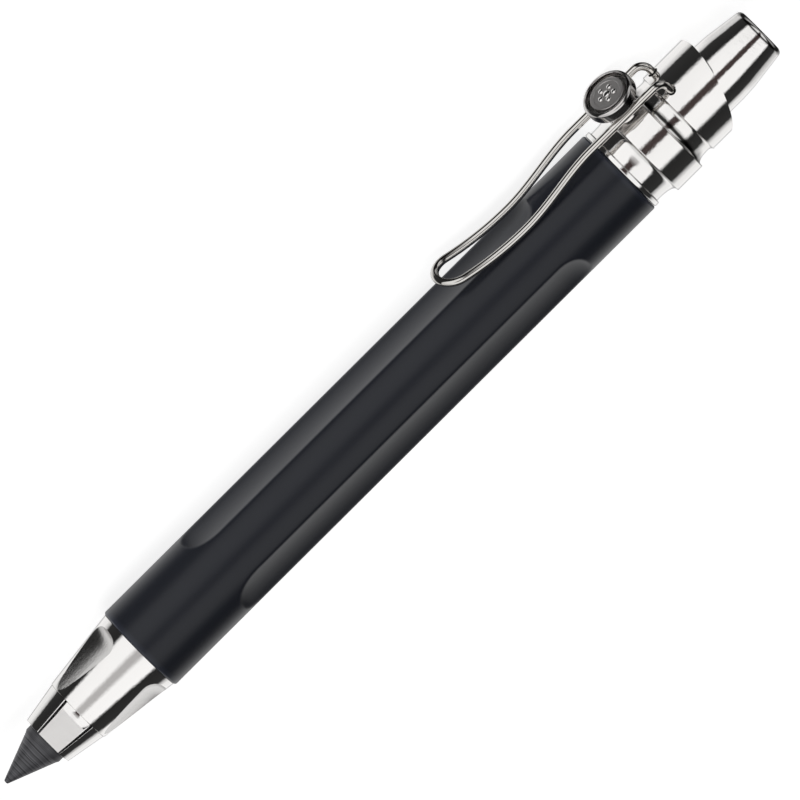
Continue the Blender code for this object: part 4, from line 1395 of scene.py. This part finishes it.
class LEADHOLDER_OT_clip(PieceOperator, bpy.types.Operator):
    """Clip: one bent wire with two hooks, two legs and a round end"""

    bl_idname = "leadholder.clip"
    bl_label = "Clip"

    def make(self, size):
        spread_y = WIRE_WIDTH - 2 * size.wire_radius
        reach = WIRE_END - size.wire_radius - HINGE.x
        near = self.leg(size, -1, spread_y, reach)
        far = self.leg(size, 1, spread_y, reach)
        centre = HINGE.x + reach - spread_y / 2
        bow = []
        for step in range(1, 36):
            turn = step / 36 * 180 * DEG
            x = centre + spread_y / 2 * math.sin(turn)
            bow.append((x, -spread_y / 2 * math.cos(turn), self.height(size, x, reach)))
        path = path_object("clip_path", [*near, *bow, *reversed(far)])
        tree, names = wire_tree()
        values = {"Radius": size.wire_radius, "Sides": 40, "Material": finish("wire")}
        placed(grow(path, tree, names, values), "clip_wire", "bright_wire", "wire", smooth=60 * DEG)

    def height(self, size, x, reach):
        """The legs' height: level at the knob, down to the barrel, then up to the tip."""
        level = RING_R + size.wire_level
        low = math.sqrt(
            (BARREL_R + size.wire_gap + size.wire_radius) ** 2 - (WIRE_WIDTH / 2 - size.wire_radius) ** 2
        )
        share = (x - HINGE.x) / reach
        if share <= LEVEL_SHARE:
            return level
        if share <= LOW_SHARE:
            fall = (share - LEVEL_SHARE) / (LOW_SHARE - LEVEL_SHARE)
            return level + (low - level) * fall * fall * (3 - 2 * fall)
        rise = (share - LOW_SHARE) / (1 - LOW_SHARE)
        return low + size.wire_tip_rise * rise**2

    def leg(self, size, side, spread_y, reach):
        """One leg from the tip of its hook to where the round end starts."""
        hook_y = side * (spread_y / 2 - size.wire_toe_in)
        leg_y = side * spread_y / 2
        level = RING_R + size.wire_level
        points = [(HINGE.x, hook_y, HINGE.z - size.hook_depth)]
        steps = 20
        for step in range(steps + 1):
            share = step / steps
            turn = share * 90 * DEG
            x = HINGE.x + size.wire_bend * (1 - math.cos(turn))
            z = level - size.wire_bend * (1 - math.sin(turn))
            points.append((x, hook_y + (leg_y - hook_y) * share * share * (3 - 2 * share), z))
        start = HINGE.x + size.wire_bend
        end = HINGE.x + reach - spread_y / 2
        legs = 90
        for step in range(1, legs + 1):
            x = start + (end - start) * step / legs
            points.append((x, leg_y, self.height(size, x, reach)))
        return points


class LEADHOLDER_OT_knob(PieceOperator, bpy.types.Operator):
    """Clip knob: the base on the ring, the knob's post and head, and a disc with a rosette of pips"""

    bl_idname = "leadholder.knob"
    bl_label = "Clip knob"

    def make(self, size):
        self.make_base(size)
        self.make_head(size)
        self.make_disc(size)

    def make_base(self, size):
        hole = size.stem_radius + FREE
        outline = [
            *corner((BASE_TOP, BASE_R - 0.2 * MM), (BASE_TOP - 0.2 * MM, BASE_R)),
            (BASE_FOOT, BASE_R),
            (BASE_FOOT, hole),
            (BASE_TOP, hole),
        ]
        placed(turned("base", outline, 96, UPRIGHT), "clip_base", "nickel_plate", "nickel")

    def make_head(self, size):
        rim_r = KNOB_R - size.knob_rim
        under = KNOB_TOP - size.knob_thickness
        post_foot = BASE_TOP + SEAM
        recess = KNOB_TOP - size.knob_recess
        lip = size.knob_rim / 4
        outline = [
            (recess, 0.0),
            (recess, rim_r),
            (KNOB_TOP - lip, rim_r),
            (KNOB_TOP, rim_r + lip),
            *corner((KNOB_TOP, KNOB_R - size.knob_round), (KNOB_TOP - size.knob_round, KNOB_R)),
            *corner((under + size.knob_round / 2, KNOB_R), (under, KNOB_R - size.knob_round / 2)),
            (under, size.post_radius),
            (post_foot, size.post_radius),
            (post_foot, size.stem_radius),
            (KNOB_FOOT, size.stem_radius),
            (KNOB_FOOT, 0.0),
        ]
        head = turned("head", softened(outline, size.edge, closed=False, least=40 * DEG), 144, UPRIGHT)
        placed(head, "clip_knob", "dark_chrome", "dark_chrome")

    def make_disc(self, size):
        edge = 0.12 * MM
        groove_r = DISC_R * 0.78
        groove = 0.05 * MM
        outline = [
            (DISC_TOP - groove, 0.0),
            (DISC_TOP - groove, groove_r - groove),
            (DISC_TOP, groove_r),
            *corner((DISC_TOP, DISC_R - edge), (DISC_TOP - edge, DISC_R)),
            (DISC_FOOT, DISC_R),
            (DISC_FOOT, 0.0),
        ]
        placed(turned("disc", outline, 96, UPRIGHT), "knob_disc", "dark_chrome", "disc_chrome")
        tree, names = rosette_tree()
        values = {
            "Pip": size.pip_radius,
            "Circle": size.pip_circle,
            "Flatness": 0.55,
            "Count": size.pip_count,
            "Material": finish("nickel"),
        }
        pips = grow(path_object("disc_pips", [(0, 0, 0), (0, 0, MM)]), tree, names, values)
        pips.data.transform(at(KNOB_X, 0, DISC_TOP - groove))
        pips.name = "disc_pips"
        placed(pips, "knob_disc", "nickel_plate", "nickel", stands_for=False)


# Stage


class LEADHOLDER_OT_stage(bpy.types.Operator):
    """Stage: the pale floor, the soft studio light and the camera"""

    bl_idname = "leadholder.stage"
    bl_label = "Stage"
    bl_options = {"REGISTER", "UNDO"}

    elevation: angle("Elevation", "Height of the camera over the floor", 29.0)
    tilt: angle("Tilt", "How far the picture is turned about the line of sight", 44.84)
    distance: bpy.props.FloatProperty(
        name="Distance", description="From the camera to the pen", default=1.8, min=0.1, unit="LENGTH"
    )
    width: length("Width", "Width of the view at the pen", 97.2, 1000.0)

    def execute(self, context):
        toward = Vector((0, -math.cos(self.elevation), math.sin(self.elevation)))
        below = Vector((0, -math.sin(self.elevation), -math.cos(self.elevation)))
        self.make_floor(context)
        self.make_light(context, toward, below)
        self.make_camera(context, toward, below)
        return {"FINISHED"}

    def make_floor(self, context):
        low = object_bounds()[0]
        shape = bmesh.new()
        bmesh.ops.create_grid(shape, x_segments=8, y_segments=8, size=3.0, matrix=at(0, 0, low.z))
        floor = new_object("floor", shape)
        floor.data.materials.append(finish("floor"))
        floor.visible_glossy = False
        floor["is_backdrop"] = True

    def make_light(self, context, toward, below):
        """Long soft boxes beside the pen: a sky whose brightness follows the turn about the pen's axis."""
        world = bpy.data.worlds.new("studio")
        context.scene.world = world
        world.use_nodes = True
        tree = world.node_tree
        do = partial(maths, tree)
        way = add(tree, "ShaderNodeTexCoord").outputs["Generated"]
        front = vector_maths(tree, "DOT_PRODUCT", way, tuple(toward))
        side = vector_maths(tree, "DOT_PRODUCT", way, tuple(-below))
        degrees = do("DIVIDE", do("ARCTAN2", side, front), DEG)
        forward = add(tree, "ShaderNodeSeparateXYZ", (way,)).outputs["X"]
        backward = do("MULTIPLY", forward, -1.0)
        boxes = add(tree, "ShaderNodeValToRGB", (ranged(tree, degrees, -180.0, 180.0),))
        self.paint(boxes.color_ramp)
        # a dark stripe beside the camera, wider and fainter towards the lead's end
        ahead = ranged(tree, forward, 0.08, 0.28)
        past = ranged(tree, forward, 0.33, 0.42)
        off_stripe = do("ABSOLUTE", do("SUBTRACT", degrees, STRIPE_TURN))
        off_stripe = do("DIVIDE", off_stripe, do("MULTIPLY_ADD", ahead, 1.4, 1.0))
        off_stripe = do("MULTIPLY_ADD", ahead, 4.0, off_stripe)
        stripe = ranged(tree, off_stripe, 6.0, 12.0, 1.0, 0.0, interpolation_type="SMOOTHSTEP")
        fading = do("MULTIPLY", between(tree, ahead, 1.0, 0.55), between(tree, past, 1.0, 0.15))
        split = add(tree, "ShaderNodeMix", {"Factor": do("MULTIPLY", stripe, fading)}, data_type="RGBA")
        tree.links.new(boxes.outputs[0], split.inputs["A"])
        split.inputs["B"].default_value = STRIPE_COLOUR
        # the boxes end a little past the pen, and a softer glow lies beyond each end
        lean = do("MAXIMUM", backward, do("MULTIPLY", forward, 0.38))
        ends = ranged(tree, lean, 0.25, 0.42, 1.0, 0.03)
        glow = ranged(tree, do("ABSOLUTE", forward), 0.62, 0.8, 0.0, 0.75)
        # the boxes under and behind the pen are dimmer towards the cap's end
        outer = ranged(tree, do("ABSOLUTE", degrees), 105.0, 130.0)
        rear = ranged(tree, backward, 0.06, 0.2)
        dimming = between(tree, do("MULTIPLY", outer, rear), 1.0, 0.4)
        strength = do("MULTIPLY", do("MAXIMUM", ends, glow), dimming)
        fill(tree, tree.nodes["Background"], {"Color": split.outputs["Result"], "Strength": strength})

    def paint(self, ramp):
        """Bright boxes either side of the pen, with a dark gap between each pair."""
        elements = ramp.elements
        while len(elements) < len(SKY):
            elements.new(0.5)
        for element, (degrees, level) in zip(elements, SKY.items()):
            element.position = (degrees + 180) / 360
            element.color = (level, level, level, 1.0)

    def make_camera(self, context, toward, below):
        rearward = Vector((-1, 0, 0))
        right = math.cos(self.tilt) * rearward - math.sin(self.tilt) * below
        aim = Vector((LEAD_FRONT * AIM_SHARE, 0, 0)) - below * AIM_RAISE
        stand = Vector((LEAD_FRONT * STAND_SHARE, 0, 0)) + toward * self.distance
        back = (stand - aim).normalized()
        across = (right - back * right.dot(back)).normalized()
        turn = Matrix((across, back.cross(across), back)).transposed()
        camera = linked("camera", bpy.data.cameras.new("camera"))
        camera.matrix_world = Matrix.Translation(stand) @ turn.to_4x4()
        camera.data.sensor_width = SENSOR
        camera.data.lens = SENSOR * (stand - aim).length / self.width
        camera.data.clip_start = 0.1
        camera.data.clip_end = 20.0
        context.scene.camera = camera
        context.scene.view_settings.view_transform = "Standard"


PIECES = (
    LEADHOLDER_OT_barrel,
    LEADHOLDER_OT_nose,
    LEADHOLDER_OT_chuck,
    LEADHOLDER_OT_lead,
    LEADHOLDER_OT_inner,
    LEADHOLDER_OT_tail,
    LEADHOLDER_OT_cap,
    LEADHOLDER_OT_clip,
    LEADHOLDER_OT_knob,
    LEADHOLDER_OT_stage,
)


class LEADHOLDER_PT_panel(bpy.types.Panel):
    """Lists the pieces, the sizes and the colours"""

    bl_idname = "LEADHOLDER_PT_panel"
    bl_label = "Lead holder"
    bl_space_type = "VIEW_3D"
    bl_region_type = "UI"
    bl_category = "Lead holder"

    def draw(self, context):
        for piece in PIECES:
            self.layout.operator(piece.bl_idname)
        for group in (context.scene.lead_holder_sizes, context.scene.lead_holder_colours):
            column = self.layout.column()
            for name in group.bl_rna.properties.keys():
                if name not in ("rna_type", "name"):
                    column.prop(group, name)


CLASSES = (LeadHolderSizes, LeadHolderColours, *PIECES, LEADHOLDER_PT_panel)


def register():
    for item in CLASSES:
        bpy.utils.register_class(item)
    bpy.types.Scene.lead_holder_sizes = bpy.props.PointerProperty(type=LeadHolderSizes)
    bpy.types.Scene.lead_holder_colours = bpy.props.PointerProperty(type=LeadHolderColours)


def unregister():
    del bpy.types.Scene.lead_holder_colours
    del bpy.types.Scene.lead_holder_sizes
    for item in reversed(CLASSES):
        bpy.utils.unregister_class(item)


def main():
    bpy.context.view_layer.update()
    register()
    bpy.ops.leadholder.barrel()
    bpy.ops.leadholder.nose()
    bpy.ops.leadholder.chuck()
    bpy.ops.leadholder.lead()
    bpy.ops.leadholder.inner()
    bpy.ops.leadholder.tail()
    bpy.ops.leadholder.cap()
    bpy.ops.leadholder.clip()
    bpy.ops.leadholder.knob()
    bpy.ops.leadholder.stage()


if __name__ == "__main__":
    main()
